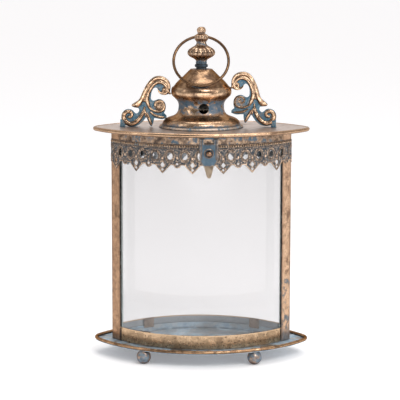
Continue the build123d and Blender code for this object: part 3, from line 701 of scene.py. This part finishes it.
# ---- cast scrolls
# The right one's outline, x from the axis and z above the lid, as stretches that are smooth between
# corners. Each starts where the one before it ends, and the first one where the last one ends.
SCROLL_OUTLINE = [
    [
        (36.6, 51.0), (36.7, 54.8), (37.5, 59.3), (39.8, 63.4), (43.8, 66.3), (49.1, 67.9), (54.4, 67.5),
        (59.3, 65.2), (63.6, 60.3), (67.0, 54.0), (69.6, 47.0), (71.6, 39.8), (73.4, 35.6), (76.6, 32.5),
        (80.2, 29.6), (81.4, 27.8),
    ],
    [(79.4, 26.0), (75.4, 25.6), (71.8, 25.2)],
    [(71.2, 22.4), (72.2, 19.8), (74.6, 18.4), (77.0, 19.8)],
    [
        (79.8, 22.0), (83.8, 22.7), (88.4, 21.0), (91.4, 16.6), (91.9, 12.0), (90.6, 7.6), (87.8, 4.2),
        (84.0, 2.2), (79.8, 1.6), (75.6, 2.0), (71.0, 3.9), (66.8, 7.6), (63.6, 12.0), (61.5, 15.5),
    ],
    [(59.4, 12.4), (56.8, 8.2), (54.6, 5.5)],
    [(53.2, 5.6)],
    [(52.1, 9.8), (51.8, 13.2), (51.9, 15.9)],
    [(47.8, 15.8), (42.4, 15.7), (36.8, 17.6)],
    [(37.0, 20.4), (38.4, 21.9), (40.6, 23.4)],
    [(39.4, 28.0), (39.7, 33.0), (41.8, 36.9), (45.4, 39.2), (49.6, 39.5), (53.6, 37.4), (56.2, 36.6)],
    [(58.6, 38.6), (59.1, 42.6), (58.8, 47.6), (57.2, 51.8), (54.2, 53.6)],
    [(52.0, 51.8), (51.0, 48.7), (47.8, 46.3), (43.8, 45.6), (40.4, 46.4), (37.2, 47.8)],
]
# Ridges as (x, z, half width)
SCROLL_RIDGES = {
    "outer": [
        (38.0, 55.0, 1.5), (38.9, 58.6, 1.9), (41.2, 62.3, 2.2), (44.9, 64.7, 2.4), (50.0, 65.9, 2.4),
        (55.4, 65.0, 2.4), (59.8, 61.4, 2.4), (63.6, 55.4, 2.4), (66.6, 48.4, 2.4), (68.8, 41.2, 2.4),
        (70.8, 35.4, 2.6), (74.2, 31.0, 2.7), (77.8, 28.6, 2.0), (80.6, 27.8, 0.8),
    ],
    "inner": [
        (37.4, 49.6, 1.2), (39.4, 52.6, 1.5), (42.2, 57.0, 1.8), (46.2, 60.2, 2.0), (50.8, 60.9, 2.1),
        (55.2, 59.2, 2.1), (58.8, 55.4, 2.1), (61.4, 50.2, 2.1), (63.2, 44.8, 2.1), (63.6, 39.6, 2.2),
        (62.2, 34.4, 2.0), (60.2, 29.8, 1.5), (59.4, 27.6, 0.9),
    ],
    "curl": [
        (52.6, 51.6, 0.9), (51.2, 49.0, 1.5), (48.4, 47.4, 1.7), (44.6, 46.9, 1.7), (41.4, 48.2, 1.6),
        (40.4, 51.0, 1.5), (42.2, 53.4, 1.4), (45.0, 53.2, 1.3),
    ],
    "stem": [
        (65.0, 27.5, 1.0), (65.4, 22.8, 1.5), (67.3, 17.0, 1.9), (70.0, 12.0, 2.2), (74.2, 7.4, 2.3),
        (79.2, 5.2, 2.3), (84.2, 6.2, 2.3), (88.0, 10.0, 2.3), (88.9, 15.0, 2.2), (86.2, 19.0, 2.0),
        (82.0, 19.6, 1.8), (79.2, 16.9, 1.6), (80.4, 13.8, 1.5), (83.0, 13.2, 1.4),
    ],
    "leaf_down": [(61.6, 20.8, 0.8), (58.4, 15.8, 1.3), (55.8, 11.0, 1.3), (54.2, 7.6, 0.8)],
    "leaf_left": [(57.0, 22.6, 0.8), (52.0, 19.6, 1.2), (46.0, 18.5, 1.3), (40.4, 18.5, 0.8)],
    "leaf_right": [(71.0, 31.0, 1.4), (74.2, 28.2, 1.7), (77.8, 27.2, 1.0)],
    "bud": [
        (59.3, 28.2, 0.9), (56.0, 25.7, 1.1), (50.3, 24.4, 1.3), (44.6, 25.5, 1.4), (41.4, 29.0, 1.5),
        (41.4, 33.2, 1.5), (43.8, 36.6, 1.5), (48.0, 37.4, 1.4), (51.6, 35.8, 1.4), (52.8, 32.8, 1.3),
        (51.0, 30.4, 1.2), (48.0, 30.4, 1.1), (46.6, 32.8, 1.1), (48.2, 34.2, 0.9),
    ],
    "rib": [(64.0, 24.2, 0.7), (62.9, 19.6, 0.9), (62.2, 16.4, 0.6)],
}
# A broad swell under the two ridges of the stem, as (x, z, half width), and the solder point at the chimney
STEM_BAND = [
    (42.0, 59.6, 3.2), (48.4, 63.4, 4.2), (55.0, 62.2, 4.4), (60.2, 57.6, 4.4), (64.0, 50.4, 4.4),
    (66.0, 42.6, 4.0), (66.4, 36.4, 3.0),
]
SOLDER = [(35.9, 48.0, 1.0), (37.6, 48.9, 1.3), (39.2, 50.2, 1.2)]
BUD_CENTRE, BUD_RADIUS = (47.2, 31.8), 6.8
BUTTON_CENTRE, BUTTON_RADIUS = (44.6, 50.6), 2.5
SCROLL_GRID = 0.40
SCROLL_X, SCROLL_Z = (33.2, 94.0), (-1.9, 69.2)
SCROLL_PIVOT, PEG_HALF_WIDTH, PEG_HALF_DEPTH, PEG_TOP = 88.7, 2.9, 3.2, 9.0
WEB_EDGE, WEB_HALF, WEB_CROWN = 1.3, 0.9, 0.75
BAND_HALF, RIDGE_FOOT, BOSS_FOOT = 2.7, 1.55, 1.6
RELIEF_TOP = 4.0
RIDGE_SPREAD = 1.22


def scroll_corners():
    """The scroll's outline as one polygon, with its curved stretches smoothed."""
    corners, start = [], SCROLL_OUTLINE[-1][-1]
    for stretch in SCROLL_OUTLINE:
        line = [start] + stretch
        if len(line) > 2:
            line = smooth_line(line, 5)
        corners += [tuple(point) for point in line[:-1]]
        start = stretch[-1]
    return corners


def scroll_relief(gx, gz, bud_wear):
    """The half depth of the ornament over the grid, and how much each place of it is rubbed."""
    away, width = line_distance(gx, gz, smooth_line(STEM_BAND, 6))
    height = BAND_HALF * np.sqrt(np.clip(1 - (away / width) ** 4, 0, 1))
    worn = 0.45 * np.clip(1.6 - 1.6 * away / width, 0, 1)
    for name, line in SCROLL_RIDGES.items():
        away, width = line_distance(gx, gz, smooth_line(line, 7))
        width = width * RIDGE_SPREAD
        crest = ridge(away, 0, width)
        height = np.maximum(height, RIDGE_FOOT + crest * (0.72 * width + 0.35))
        wear = bud_wear if name in ("bud", "leaf_left") else 1.0
        worn = np.maximum(worn, wear * crest)
    bosses = ((BUD_CENTRE, BUD_RADIUS, 1.25, 0.5 * bud_wear), (BUTTON_CENTRE, BUTTON_RADIUS, 1.9, 0.9))
    for (cx, cz), radius, lift, wear in bosses:
        swell = np.sqrt(np.clip(1 - ((gx - cx) ** 2 + (gz - cz) ** 2) / radius**2, 0, 1))
        height = np.maximum(height, BOSS_FOOT + lift * swell)
        worn = np.maximum(worn, wear * swell)
    return height, worn


def cast_scroll(side, node, lean, shift, bud_wear):
    """One double-sided casting: a web with ridges, leaves and a bud, set on the lid by a peg."""
    xs = np.arange(*SCROLL_X, SCROLL_GRID)
    zs = np.arange(*SCROLL_Z, SCROLL_GRID)
    ys = np.arange(-RELIEF_TOP - 0.7, RELIEF_TOP + 0.8, SCROLL_GRID)
    gx, gz = np.meshgrid(xs, zs, indexing="ij")
    cos, sin = math.cos(math.radians(lean)), math.sin(math.radians(lean))
    across = (gx - SCROLL_PIVOT) * cos - gz * sin
    above = (gx - SCROLL_PIVOT) * sin + gz * cos
    peg = np.minimum(PEG_HALF_WIDTH + 0.10 * np.clip(4 - above, 0, 4) - np.abs(across), PEG_TOP - above)
    away, width = line_distance(gx, gz, smooth_line(SOLDER, 6))
    solder = width - away
    outline = np.maximum(inside_polygon(gx, gz, scroll_corners()), peg)
    outline = np.minimum(np.maximum(outline, solder), above)

    height, worn = scroll_relief(gx, gz, bud_wear)
    rim = np.clip(outline / WEB_EDGE, 0, 1)
    height = np.maximum(height, WEB_HALF + WEB_CROWN * np.sqrt(1 - (1 - rim) ** 2))
    height = np.where(peg > 0, np.maximum(height, PEG_HALF_DEPTH * np.clip(0.55 + peg, 0, 1)), height)
    height += 0.09 * np.sin(gx * 2.9 + lean) * np.sin(gz * 2.3 + lean)
    height = np.minimum(height, RELIEF_TOP - 0.02)
    worn = np.where(peg > 0.3, np.minimum(worn, 0.1), worn)
    worn = np.maximum(worn, 0.8 * (solder > 0))

    field = np.minimum(height[:, :, None] - np.abs(ys)[None, None, :], np.minimum(outline, 3)[:, :, None])
    points, faces = surface_nets(field, (xs[0], zs[0], ys[0]), [SCROLL_GRID] * 3)
    relief = sample(worn, (xs[0], zs[0]), [SCROLL_GRID] * 2, points[:, :2])
    relief *= np.clip((np.abs(points[:, 2]) - WEB_HALF) / WEB_HALF, 0, 1)
    x, z, y = points[:, 0] - SCROLL_PIVOT, points[:, 1], points[:, 2]
    x, z = x * cos - z * sin, x * sin + z * cos
    placed = np.stack([side * (x + SCROLL_PIVOT + shift), y, np.maximum(z, 0) + LID_TOP], axis=1)
    # the field's axes run x, z, y, which is left-handed, so the right scroll's faces are turned over
    if side > 0:
        faces = faces[:, ::-1]
    made = make_object(node + "_casting", placed, faces, M["cast"], "lid", node)
    paint_relief(made, relief)


cast_scroll(1, "scroll_right", 0.0, 0.0, 0.35)
cast_scroll(-1, "scroll_left", 7.5, 7.8, 0.85)

# ---- pierced gallery
# One pendant repeats along the strip: w is measured from the nearest pendant, u from the lobe between two
PENDANT_PITCH, PENDANT_OFFSET, PENDANT_HALF = 37.0, 9.2, 9.9
GALLERY_LOW, GALLERY_HIGH = (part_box("gallery_front")[k][2] / MM for k in (0, 1))
VALLEY_Z, LOBE_Z, EYE_Z, LOZENGE_Z, OVAL_Z, OVAL_U = 242.4, 243.8, 236.8, 242.2, 253.3, 9.2
LOBE_RADIUS, LOBE_EYE_RADIUS, EYE_RADIUS, LOZENGE_HALF = 4.9, 1.3, 1.35, 2.75
OVAL_HOLE, OVAL_FRAME = (3.3, 4.3), (5.9, 7.3)
STRAP_LOW, STRAP_MIDDLE, STRAP_HIGH, LOW_RAIL_Z = 246.5, 250.5, 260.5, 262.0
# Raised knobs, as (measured along w or u, z, half width, half height, strength)
GALLERY_KNOBS = (("w", 250.6, 1.7, 1.9, 1.0), ("u", 251.5, 1.5, 2.4, 1.0), ("u", 257.8, 1.2, 1.3, 0.8))
GALLERY_STEP = (0.42, 0.42, 0.22)
SHEET_HALF_ARC = ARC_RADIUS * math.asin(HALF_LENGTH / ARC_RADIUS) + 2.5
PLAIN_END = 9.5
SHEET_BASE, SHEET_RELIEF = 0.45, 0.62


def gallery(side, node, seed):
    """A pierced strip with raised frames, bent to the front or back of the case."""
    ss = np.arange(-SHEET_HALF_ARC, SHEET_HALF_ARC, GALLERY_STEP[0])
    zs = np.arange(GALLERY_LOW - 0.9, GALLERY_HIGH + 0.9, GALLERY_STEP[1])
    gs, gz = np.meshgrid(ss, zs, indexing="ij")
    u = (gs - PENDANT_OFFSET + PENDANT_PITCH / 2) % PENDANT_PITCH - PENDANT_PITCH / 2
    w = PENDANT_PITCH / 2 - np.abs(u)
    slope = PENDANT_HALF / (LOZENGE_Z - GALLERY_LOW)
    diamond = (PENDANT_HALF - w - np.abs(gz - LOZENGE_Z) * slope) * 0.70
    drop = np.maximum(np.maximum(gz - VALLEY_Z, diamond), LOBE_RADIUS - np.hypot(u, gz - LOBE_Z))
    oval_u = np.abs(u) - OVAL_U
    oval = ellipse(oval_u, gz - OVAL_Z, *OVAL_HOLE)
    lozenge = (w + np.abs(gz - LOZENGE_Z - 0.3) * 0.78 - LOZENGE_HALF) * 0.75
    eye = np.hypot(w, gz - EYE_Z) - EYE_RADIUS
    lobe_eye = np.hypot(u, gz - LOBE_Z) - LOBE_EYE_RADIUS
    holes = np.minimum(np.minimum(oval, lozenge), np.minimum(eye, lobe_eye))
    holes = np.where(np.abs(gs) < SHEET_HALF_ARC - PLAIN_END, holes, 3.0)
    outline = np.minimum(np.minimum(drop, GALLERY_HIGH - gz), holes)

    frames = 0.85 * ridge(ellipse(oval_u, gz - OVAL_Z, *OVAL_FRAME), 0.0, 0.60) * (gz < GALLERY_HIGH - 6.5)
    strap = 0.75 * ridge(np.abs(w - np.abs(gz - STRAP_MIDDLE) * 0.62), 0.0, 0.75)
    raised = [
        0.8 * ridge(oval, 0.85, 0.55),
        frames,
        0.9 * ridge(drop, 0.75, 0.75) * (gz < VALLEY_Z + 4),
        0.9 * ridge(lozenge, 0.75, 0.6),
        0.8 * np.maximum(ridge(eye, 0.6, 0.5), ridge(lobe_eye, 0.65, 0.55)),
        strap * (gz > STRAP_LOW) * (gz < STRAP_HIGH),
        0.7 * ridge(gz, LOW_RAIL_Z, 0.45),
        0.5 * ridge(gz, GALLERY_HIGH - 0.5, 0.5),
    ]
    for centred_on, z, half_width, half_height, strength in GALLERY_KNOBS:
        raised.append(strength * knob(w if centred_on == "w" else u, gz - z, half_width, half_height))
    high = np.max(raised, axis=0)
    height = SHEET_BASE + SHEET_RELIEF * high + 0.05 * np.sin(gs * 1.7 + seed) * np.sin(gz * 2.1)

    levels = np.arange(-0.25, 1.5, GALLERY_STEP[2])
    ends = -on_arc(gs, 0.5)[1]
    field = sheet_field(levels, height, np.minimum(outline, ends))
    points, faces = surface_nets(field, (ss[0], zs[0], levels[0]), GALLERY_STEP)
    relief = sample(high, (ss[0], zs[0]), GALLERY_STEP[:2], points[:, :2]) * (points[:, 2] > 0.3)
    x, y = on_arc(points[:, 0], points[:, 2] + 0.03, side)
    placed = np.stack([x, y, points[:, 1]], 1)
    made = make_object(node + "_pierced", placed, faces[:, ::-1], M["lace"], "body", node)
    paint_relief(made, relief)


gallery(-1, "gallery_front", 0.0)
gallery(1, "gallery_back", 2.0)

# ---- beaded strips
STRIP_INNER, STRIP_OUTER = 0.7, 1.8
BEAD_PITCH, BEAD_RADIUS, EDGE_WIRE_RADIUS = 3.1, 1.16, 0.24


def bead_wire(side, node):
    """A row of small beads between two fine wires."""
    low, high = (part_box(node)[k][2] / MM for k in (0, 1))
    grow = (STRIP_INNER + STRIP_OUTER) / 2
    reach = ARC_RADIUS + grow
    limit = reach * math.asin((HALF_LENGTH - 0.3) / reach)
    parts = []
    count = int(2 * limit / BEAD_PITCH)
    for i in range(count + 1):
        s = (-limit + 2 * limit * i / count) * ARC_RADIUS / reach
        x, y = on_arc(s, grow - 0.15, side)
        size = BEAD_RADIUS + 0.08 * math.sin(i * 2.3)
        rows = [(size * math.cos(a) * 0.98, size * math.sin(a)) for a in np.linspace(-1.35, 1.35, 7)]
        points, faces = lathe(rows, 10)
        parts.append((points + np.array([x, y, (low + high) / 2]), faces))
    for z in (low + EDGE_WIRE_RADIUS, high - EDGE_WIRE_RADIUS):
        places = np.linspace(-limit, limit, 120) * ARC_RADIUS / reach
        path = [(*on_arc(s, grow - 0.1, side), z) for s in places]
        parts.append(round_wire(path, EDGE_WIRE_RADIUS, 8))
    make_object(node + "_beads", *join(parts), M["bead"], "body", node)


bead_wire(-1, "bead_wire_front")
bead_wire(1, "bead_wire_back")

# ---- finial
# radius, height above the lid, and how deep the lobes are
FINIAL_ROWS = [
    (6.3, 71.2, 0.0), (6.4, 72.6, 0.06), (6.2, 74.0, 0.06), (6.4, 77.4, 0.05), (6.9, 78.6, 0.1),
    (6.5, 80.2, 0.1), (6.9, 81.8, 0.09), (8.4, 83.4, 0.1), (11.4, 85.0, 0.12), (14.4, 86.8, 0.14),
    (16.4, 89.0, 0.15), (17.0, 91.4, 0.15), (16.2, 94.0, 0.14), (14.0, 96.2, 0.13), (10.8, 98.2, 0.11),
    (8.0, 99.8, 0.07), (6.6, 101.4, 0.05), (6.0, 103.0, 0.06), (6.2, 104.6, 0.09), (7.4, 106.4, 0.11),
    (9.0, 108.4, 0.12), (9.5, 110.4, 0.12), (8.6, 112.2, 0.11), (6.2, 113.6, 0.08), (4.6, 114.6, 0.04),
    (4.7, 115.6, 0.02), (5.3, 117.0, 0.07), (5.6, 118.6, 0.08), (5.2, 120.2, 0.08), (4.2, 121.6, 0.06),
    (2.6, 122.4, 0.03), (0.9, 122.6, 0.0),
]

BODY_LOBES, TIP_LOBES, TIP_FROM = 14, 8, 115.8
FINIAL_SEGMENTS = 224
RING_WIRE_RADIUS = 1.7
# The hole for the ring flares to both sides, as (radius, distance from the middle)
RING_HOLE = [(3.9, -13.0), (3.4, -9.0), (2.05, -1.0), (2.05, 1.0), (3.4, 9.0), (3.9, 13.0)]


def cut_away(made, points, faces):
    """Cuts a closed form, given by its points in m and its faces, out of an object's mesh."""
    mesh = bpy.data.meshes.new("cutter")
    mesh.from_pydata(points.tolist(), [], faces)
    cutter = add_object("cutter", mesh)
    modifier = made.modifiers.new("ring_hole", "BOOLEAN")
    modifier.operation, modifier.solver, modifier.object = "DIFFERENCE", "EXACT", cutter
    bpy.context.view_layer.update()
    solid = bpy.data.meshes.new_from_object(made.evaluated_get(bpy.context.evaluated_depsgraph_get()))
    made.modifiers.clear()
    made.data = solid
    bpy.data.objects.remove(cutter)
    solid.polygons.foreach_set("use_smooth", [True] * len(solid.polygons))


def finial():
    """The gadrooned finial, with the flared hole that the ring threads."""
    rows = smooth_line(FINIAL_ROWS, 5)
    lobes = np.where(rows[:, 1] > TIP_FROM, TIP_LOBES, BODY_LOBES)
    rows[:, 1] = np.clip(rows[:, 1], FINIAL_ROWS[0][1], FINIAL_ROWS[-1][1]) + LID_TOP
    rows = np.column_stack([rows, lobes])

    def lobed(row, angles):
        twist = 0.35 * math.sin((row[1] - LID_TOP) * 0.05)
        wave = np.abs(np.sin(row[3] * (angles + twist) / 2))
        return row[0] * (1 - row[2] * (1 - wave**0.7))

    points, faces = lathe(rows, FINIAL_SEGMENTS, lobed)
    made = make_object("finial_gadrooned", points, faces, M["finial"], "lid", "finial")
    hole_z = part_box("carry_ring")[1][2] / MM - RING_WIRE_RADIUS
    points, faces = lathe(RING_HOLE, 32)
    points = points[:, [2, 1, 0]] * np.array([1, -1, 1]) + np.array([0, 0, hole_z])
    cut_away(made, points * MM, faces)


finial()

# ---- ball feet
FOOT_FLAT_RADIUS, FOOT_CAP_RADIUS = 2.6, 0.6
# The solder joint above the ball, as (radius, distance below the top)
FOOT_JOINT = ((5.2, 0.75), (5.5, 0.35), (5.7, 0.0))


def ball_foot(node, seed):
    """A slightly uneven cast ball under a flared solder joint."""
    low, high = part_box(node)
    cx, cy = (low[0] + high[0]) / 2 / MM, (low[1] + high[1]) / 2 / MM
    top = high[2] / MM
    radius = (high[0] - low[0]) / 2 / MM
    centre = math.sqrt(radius * radius - FOOT_FLAT_RADIUS * FOOT_FLAT_RADIUS)
    rows = [(FOOT_CAP_RADIUS, 0.0), (FOOT_FLAT_RADIUS, 0.0)]
    rows += [(radius * math.cos(a), centre + radius * math.sin(a)) for a in np.linspace(-1.22, 0.82, 30)]
    rows += [(joint_radius, top - below) for joint_radius, below in FOOT_JOINT]

    def uneven(row, angles):
        if row[1] < 0.4 or row[1] > top - 0.9:
            return np.full(len(angles), row[0])
        return row[0] * (0.994 + 0.006 * np.sin(3 * angles + seed * 1.7 + row[1] * 0.5))

    points, faces = lathe(rows, 56, uneven)
    points += np.array([cx, cy, 0])
    make_object(node + "_ball", points, faces, M["foot"], "body", node)


for index, node in enumerate(sorted(n for n in nodes if n.startswith("foot_"))):
    ball_foot(node, index)

# ---- hasp
# Distances along the leaf are u across it and v above its pin, both in mm
HASP_PLACE, HASP_BACK = 10.0, 2.2
PIN_Z = (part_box("hasp_pin")[0][2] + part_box("hasp_pin")[1][2]) / 2 / MM
HASP_STEP = (0.3, 0.3, 0.25)
HASP_U, HASP_V = (-12.6, 12.6), (-50.5, 3.4)
LEAF_HALF, NOTCH_HALF = 11.2, 5.5
NOTCH = [(-NOTCH_HALF, -8.0), (-NOTCH_HALF, 4.0), (NOTCH_HALF, 4.0), (NOTCH_HALF, -8.0)]
PLATE = [
    (-LEAF_HALF, -25.0), (-LEAF_HALF, 1.5), (LEAF_HALF, 1.5), (LEAF_HALF, -25.0), (10.4, -29.0), (8.6, -32.4),
    (6.7, -34.6), (-6.7, -34.6), (-8.6, -32.4), (-10.4, -29.0),
]
TONGUE = [(-6.8, -32.0), (6.8, -32.0), (2.6, -47.0), (1.5, -48.4), (0, -48.8), (-1.5, -48.4), (-2.6, -47.0)]
TONGUE_FROM, TONGUE_THICK, TONGUE_BEND, BEND_RADIUS = -34.5, 1.1, math.radians(16), 1.4
KNOB_V, DISH_RADIUS, DISH_FLOOR, DISH_RIM_RADIUS = -19.5, 4.9, 0.72, 5.3
PIN_BORE, KNUCKLE_RADIUS, KNUCKLE_FACE, KNUCKLE_CHAMFER = 1.06, 2.2, 1.95, 0.3


def hasp_space(points):
    """Points of (along the face, above the pin, outwards from the leaf's back) in the row frame, in mm."""
    a = HASP_PLACE / ARC_RADIUS
    reach = ARC_RADIUS + HASP_BACK
    origin = np.array([reach * math.sin(a), ARC_CENTRE - reach * math.cos(a), PIN_Z])
    axes = np.array([[math.cos(a), math.sin(a), 0], [0, 0, 1], [math.sin(a), -math.cos(a), 0]])
    return origin + points @ axes


def knuckle(low, high):
    """A tube round the pin from low to high across the leaf, as its outside and its bore."""
    outside = [
        (PIN_BORE, low), (KNUCKLE_FACE, low), (KNUCKLE_RADIUS, low + KNUCKLE_CHAMFER),
        (KNUCKLE_RADIUS, high - KNUCKLE_CHAMFER), (KNUCKLE_FACE, high), (PIN_BORE, high),
    ]
    parts = []
    for rows, flip in ((outside, False), ([(PIN_BORE, low), (PIN_BORE, high)], True)):
        points, faces = lathe(rows, 28, close=False)
        placed = np.stack([points[:, 2], points[:, 0], points[:, 1] + KNUCKLE_RADIUS], axis=1)
        parts.append((placed, [face[::-1] if flip else face for face in faces]))
    return parts


def hasp_leaf():
    """The hasp's leaf: raised border, dished seat for the knob, knuckles and a bent tongue."""
    us = np.arange(*HASP_U, HASP_STEP[0])
    vs = np.arange(*HASP_V, HASP_STEP[1])
    gu, gv = np.meshgrid(us, vs, indexing="ij")
    plate = inside_polygon(gu, gv, PLATE)
    notch = inside_polygon(gu, gv, NOTCH)
    outline = np.minimum(np.maximum(plate, inside_polygon(gu, gv, TONGUE)), -notch)
    border = np.clip(1 - np.abs(np.minimum(plate, -notch) - 0.8) / 0.8, 0, 1) * (gv > -33.5)
    side_rails = np.clip(1 - np.abs(np.abs(gu) - 8.6) / 1.1, 0, 1) * (gv > -27) * (gv < -1)
    high = np.maximum(border, 0.8 * side_rails)
    dish = np.hypot(gu, gv - KNOB_V)
    dish_rim = ridge(dish, DISH_RIM_RADIUS, 0.7)
    height = np.where(dish < DISH_RADIUS, DISH_FLOOR, 1.0 + 0.28 * np.sqrt(high)) + 0.25 * dish_rim
    recess = (np.abs(gu) < 5.6) * (gv < -8.8) * (gv > -15.2)
    height = np.where(recess, 0.80, height)
    height = np.where(gv < TONGUE_FROM, TONGUE_THICK, height)
    levels = np.arange(-0.5, 2.0, HASP_STEP[2])
    points, faces = surface_nets(sheet_field(levels, height, outline), (us[0], vs[0], levels[0]), HASP_STEP)
    bared = np.maximum(np.maximum(high, dish_rim), gv < TONGUE_FROM)
    relief = sample(bared, (us[0], vs[0]), HASP_STEP[:2], points[:, :2])
    below = np.clip(TONGUE_FROM + 0.5 - points[:, 1], 0, None)
    points[:, 2] += math.tan(TONGUE_BEND) * (np.sqrt(below**2 + BEND_RADIUS**2) - BEND_RADIUS)
    knuckles = knuckle(-LEAF_HALF, -NOTCH_HALF) + knuckle(NOTCH_HALF, LEAF_HALF)
    points, faces = join([(points, faces[:, ::-1].tolist())] + knuckles)
    relief = np.concatenate([relief, np.full(len(points) - len(relief), 0.6)])
    made = make_object("hasp_leaf_worked", hasp_space(points), faces, M["hasp"], "hasp", "hasp_leaf")
    paint_relief(made, relief)


def hasp_knob():
    """The riveted ball knob with its small collar."""
    radius, centre = 3.75, 4.85
    rows = [(1.4, 0.3), (3.0, 0.9), (3.2, 1.4), (2.7, 1.9)]
    rows += [(radius * math.cos(a), centre + radius * math.sin(a)) for a in np.linspace(-0.85, 1.45, 18)]
    points, faces = lathe(rows, 40)
    points = hasp_space(points + np.array([0, KNOB_V, 0]))
    make_object("hasp_knob_turned", points, [face[::-1] for face in faces], M["knob"], "hasp", "hasp_knob")


hasp_leaf()
hasp_knob()


# ---- floor and light
def stage_floor():
    """A large pale floor with a little light of its own, so that the contact shadow stays soft."""
    reach = 30.0
    corners = [(-reach, -reach, 0), (reach, -reach, 0), (reach, reach, 0), (-reach, reach, 0)]
    mesh = bpy.data.meshes.new("floor")
    mesh.from_pydata(corners, [], [(0, 1, 2, 3)])
    floor = add_object("floor", mesh)
    paint = bpy.data.materials.new("floor_paint")
    paint.use_nodes = True
    shader = paint.node_tree.nodes["Principled BSDF"]
    shader.inputs["Base Color"].default_value = (0.88, 0.88, 0.885, 1.0)
    shader.inputs["Roughness"].default_value = 0.9
    shader.inputs["Specular IOR Level"].default_value = 0.1
    shader.inputs["Emission Color"].default_value = (1.0, 0.94, 0.93, 1.0)
    shader.inputs["Emission Strength"].default_value = 0.2
    mesh.materials.append(paint)


def soft_box(name, place, target, width, height, power):
    """A rectangular lamp, width and height in m and power in W, turned to its target."""
    data = bpy.data.lights.new(name, "AREA")
    data.shape, data.size, data.size_y = "RECTANGLE", width, height
    data.energy = power
    lamp = add_object(name, data)
    lamp.location = place
    lamp.rotation_euler = (Vector(target) - Vector(place)).to_track_quat("-Z", "Y").to_euler()


def sky_sun():
    """A wide, weak sun that shines from nearly overhead, a little behind the object."""
    data = bpy.data.lights.new("sky_sun", "SUN")
    data.energy, data.angle = 1.3, math.radians(50)
    sun = add_object("sky_sun", data)
    sun.rotation_euler = (math.radians(-16), math.radians(4), 0)


def studio_world():
    """A pale room that is brighter higher up and behind the object than on the camera's side."""
    world = bpy.data.worlds.new("studio")
    bpy.context.scene.world = world
    world.use_nodes = True
    tree = world.node_tree
    split = tree.nodes.new("ShaderNodeSeparateXYZ")
    tree.links.new(tree.nodes.new("ShaderNodeTexCoord").outputs["Generated"], split.inputs[0])
    rise = map_range(tree, split.outputs["Z"], (-0.02, 0.75, 0.50, 0.60))
    depth = map_range(tree, split.outputs["Y"], (-1.0, 1.0, 0.12, 1.50), "LINEAR")
    power = tree.nodes.new("ShaderNodeMath")
    power.operation = "MULTIPLY"
    tree.links.new(rise, power.inputs[0])
    tree.links.new(depth, power.inputs[1])
    back = tree.nodes["Background"]
    tree.links.new(power.outputs[0], back.inputs["Strength"])
    back.inputs["Color"].default_value = (1.0, 0.99, 0.995, 1.0)


stage_floor()
sky_sun()
soft_box("key", (0.75, -1.5, 1.9), (0, 0, 0.25), 1.3, 1.3, 24)
soft_box("left_strip", (-1.25, -0.55, 1.05), (0, 0, 0.3), 0.35, 1.2, 3.0)
soft_box("right_strip", (1.25, -0.75, 1.05), (0, 0, 0.3), 0.35, 1.2, 6.5)
soft_box("front_low", (0.2, -1.6, 0.16), (0, 0, 0.05), 1.6, 0.22, 3)
studio_world()

# ---- camera
SENSOR_MM, LENS_MM = 36.0, 146.25
# How far the picture is shifted, as shares of its width
SHIFT_X, SHIFT_Y = -0.003, -0.10175
DISTANCE, EYE_HEIGHT = 1.9833, 0.5013
YAW, TILT, ROLL = math.radians(1.02), math.radians(7.44), math.radians(0.08)


def place_camera():
    """A long lens a little right of the middle, tilted down and rolled slightly."""
    data = bpy.data.cameras.new("camera")
    data.sensor_width, data.lens = SENSOR_MM, LENS_MM
    data.shift_x, data.shift_y = SHIFT_X, SHIFT_Y
    data.clip_end = 200
    camera = add_object("camera", data)
    ahead = Vector((-math.sin(YAW) * math.cos(TILT), math.cos(YAW) * math.cos(TILT), -math.sin(TILT)))
    right = Vector((math.cos(YAW), math.sin(YAW), 0))
    up = right.cross(ahead)
    right, up = right * math.cos(ROLL) + up * math.sin(ROLL), up * math.cos(ROLL) - right * math.sin(ROLL)
    turn = Matrix((right, up, -ahead)).transposed().to_4x4()
    eye = (DISTANCE * math.sin(YAW), -DISTANCE * math.cos(YAW), EYE_HEIGHT)
    camera.matrix_world = Matrix.Translation(eye) @ turn
    bpy.context.scene.camera = camera


place_camera()
bpy.context.scene.view_settings.view_transform = "Standard"
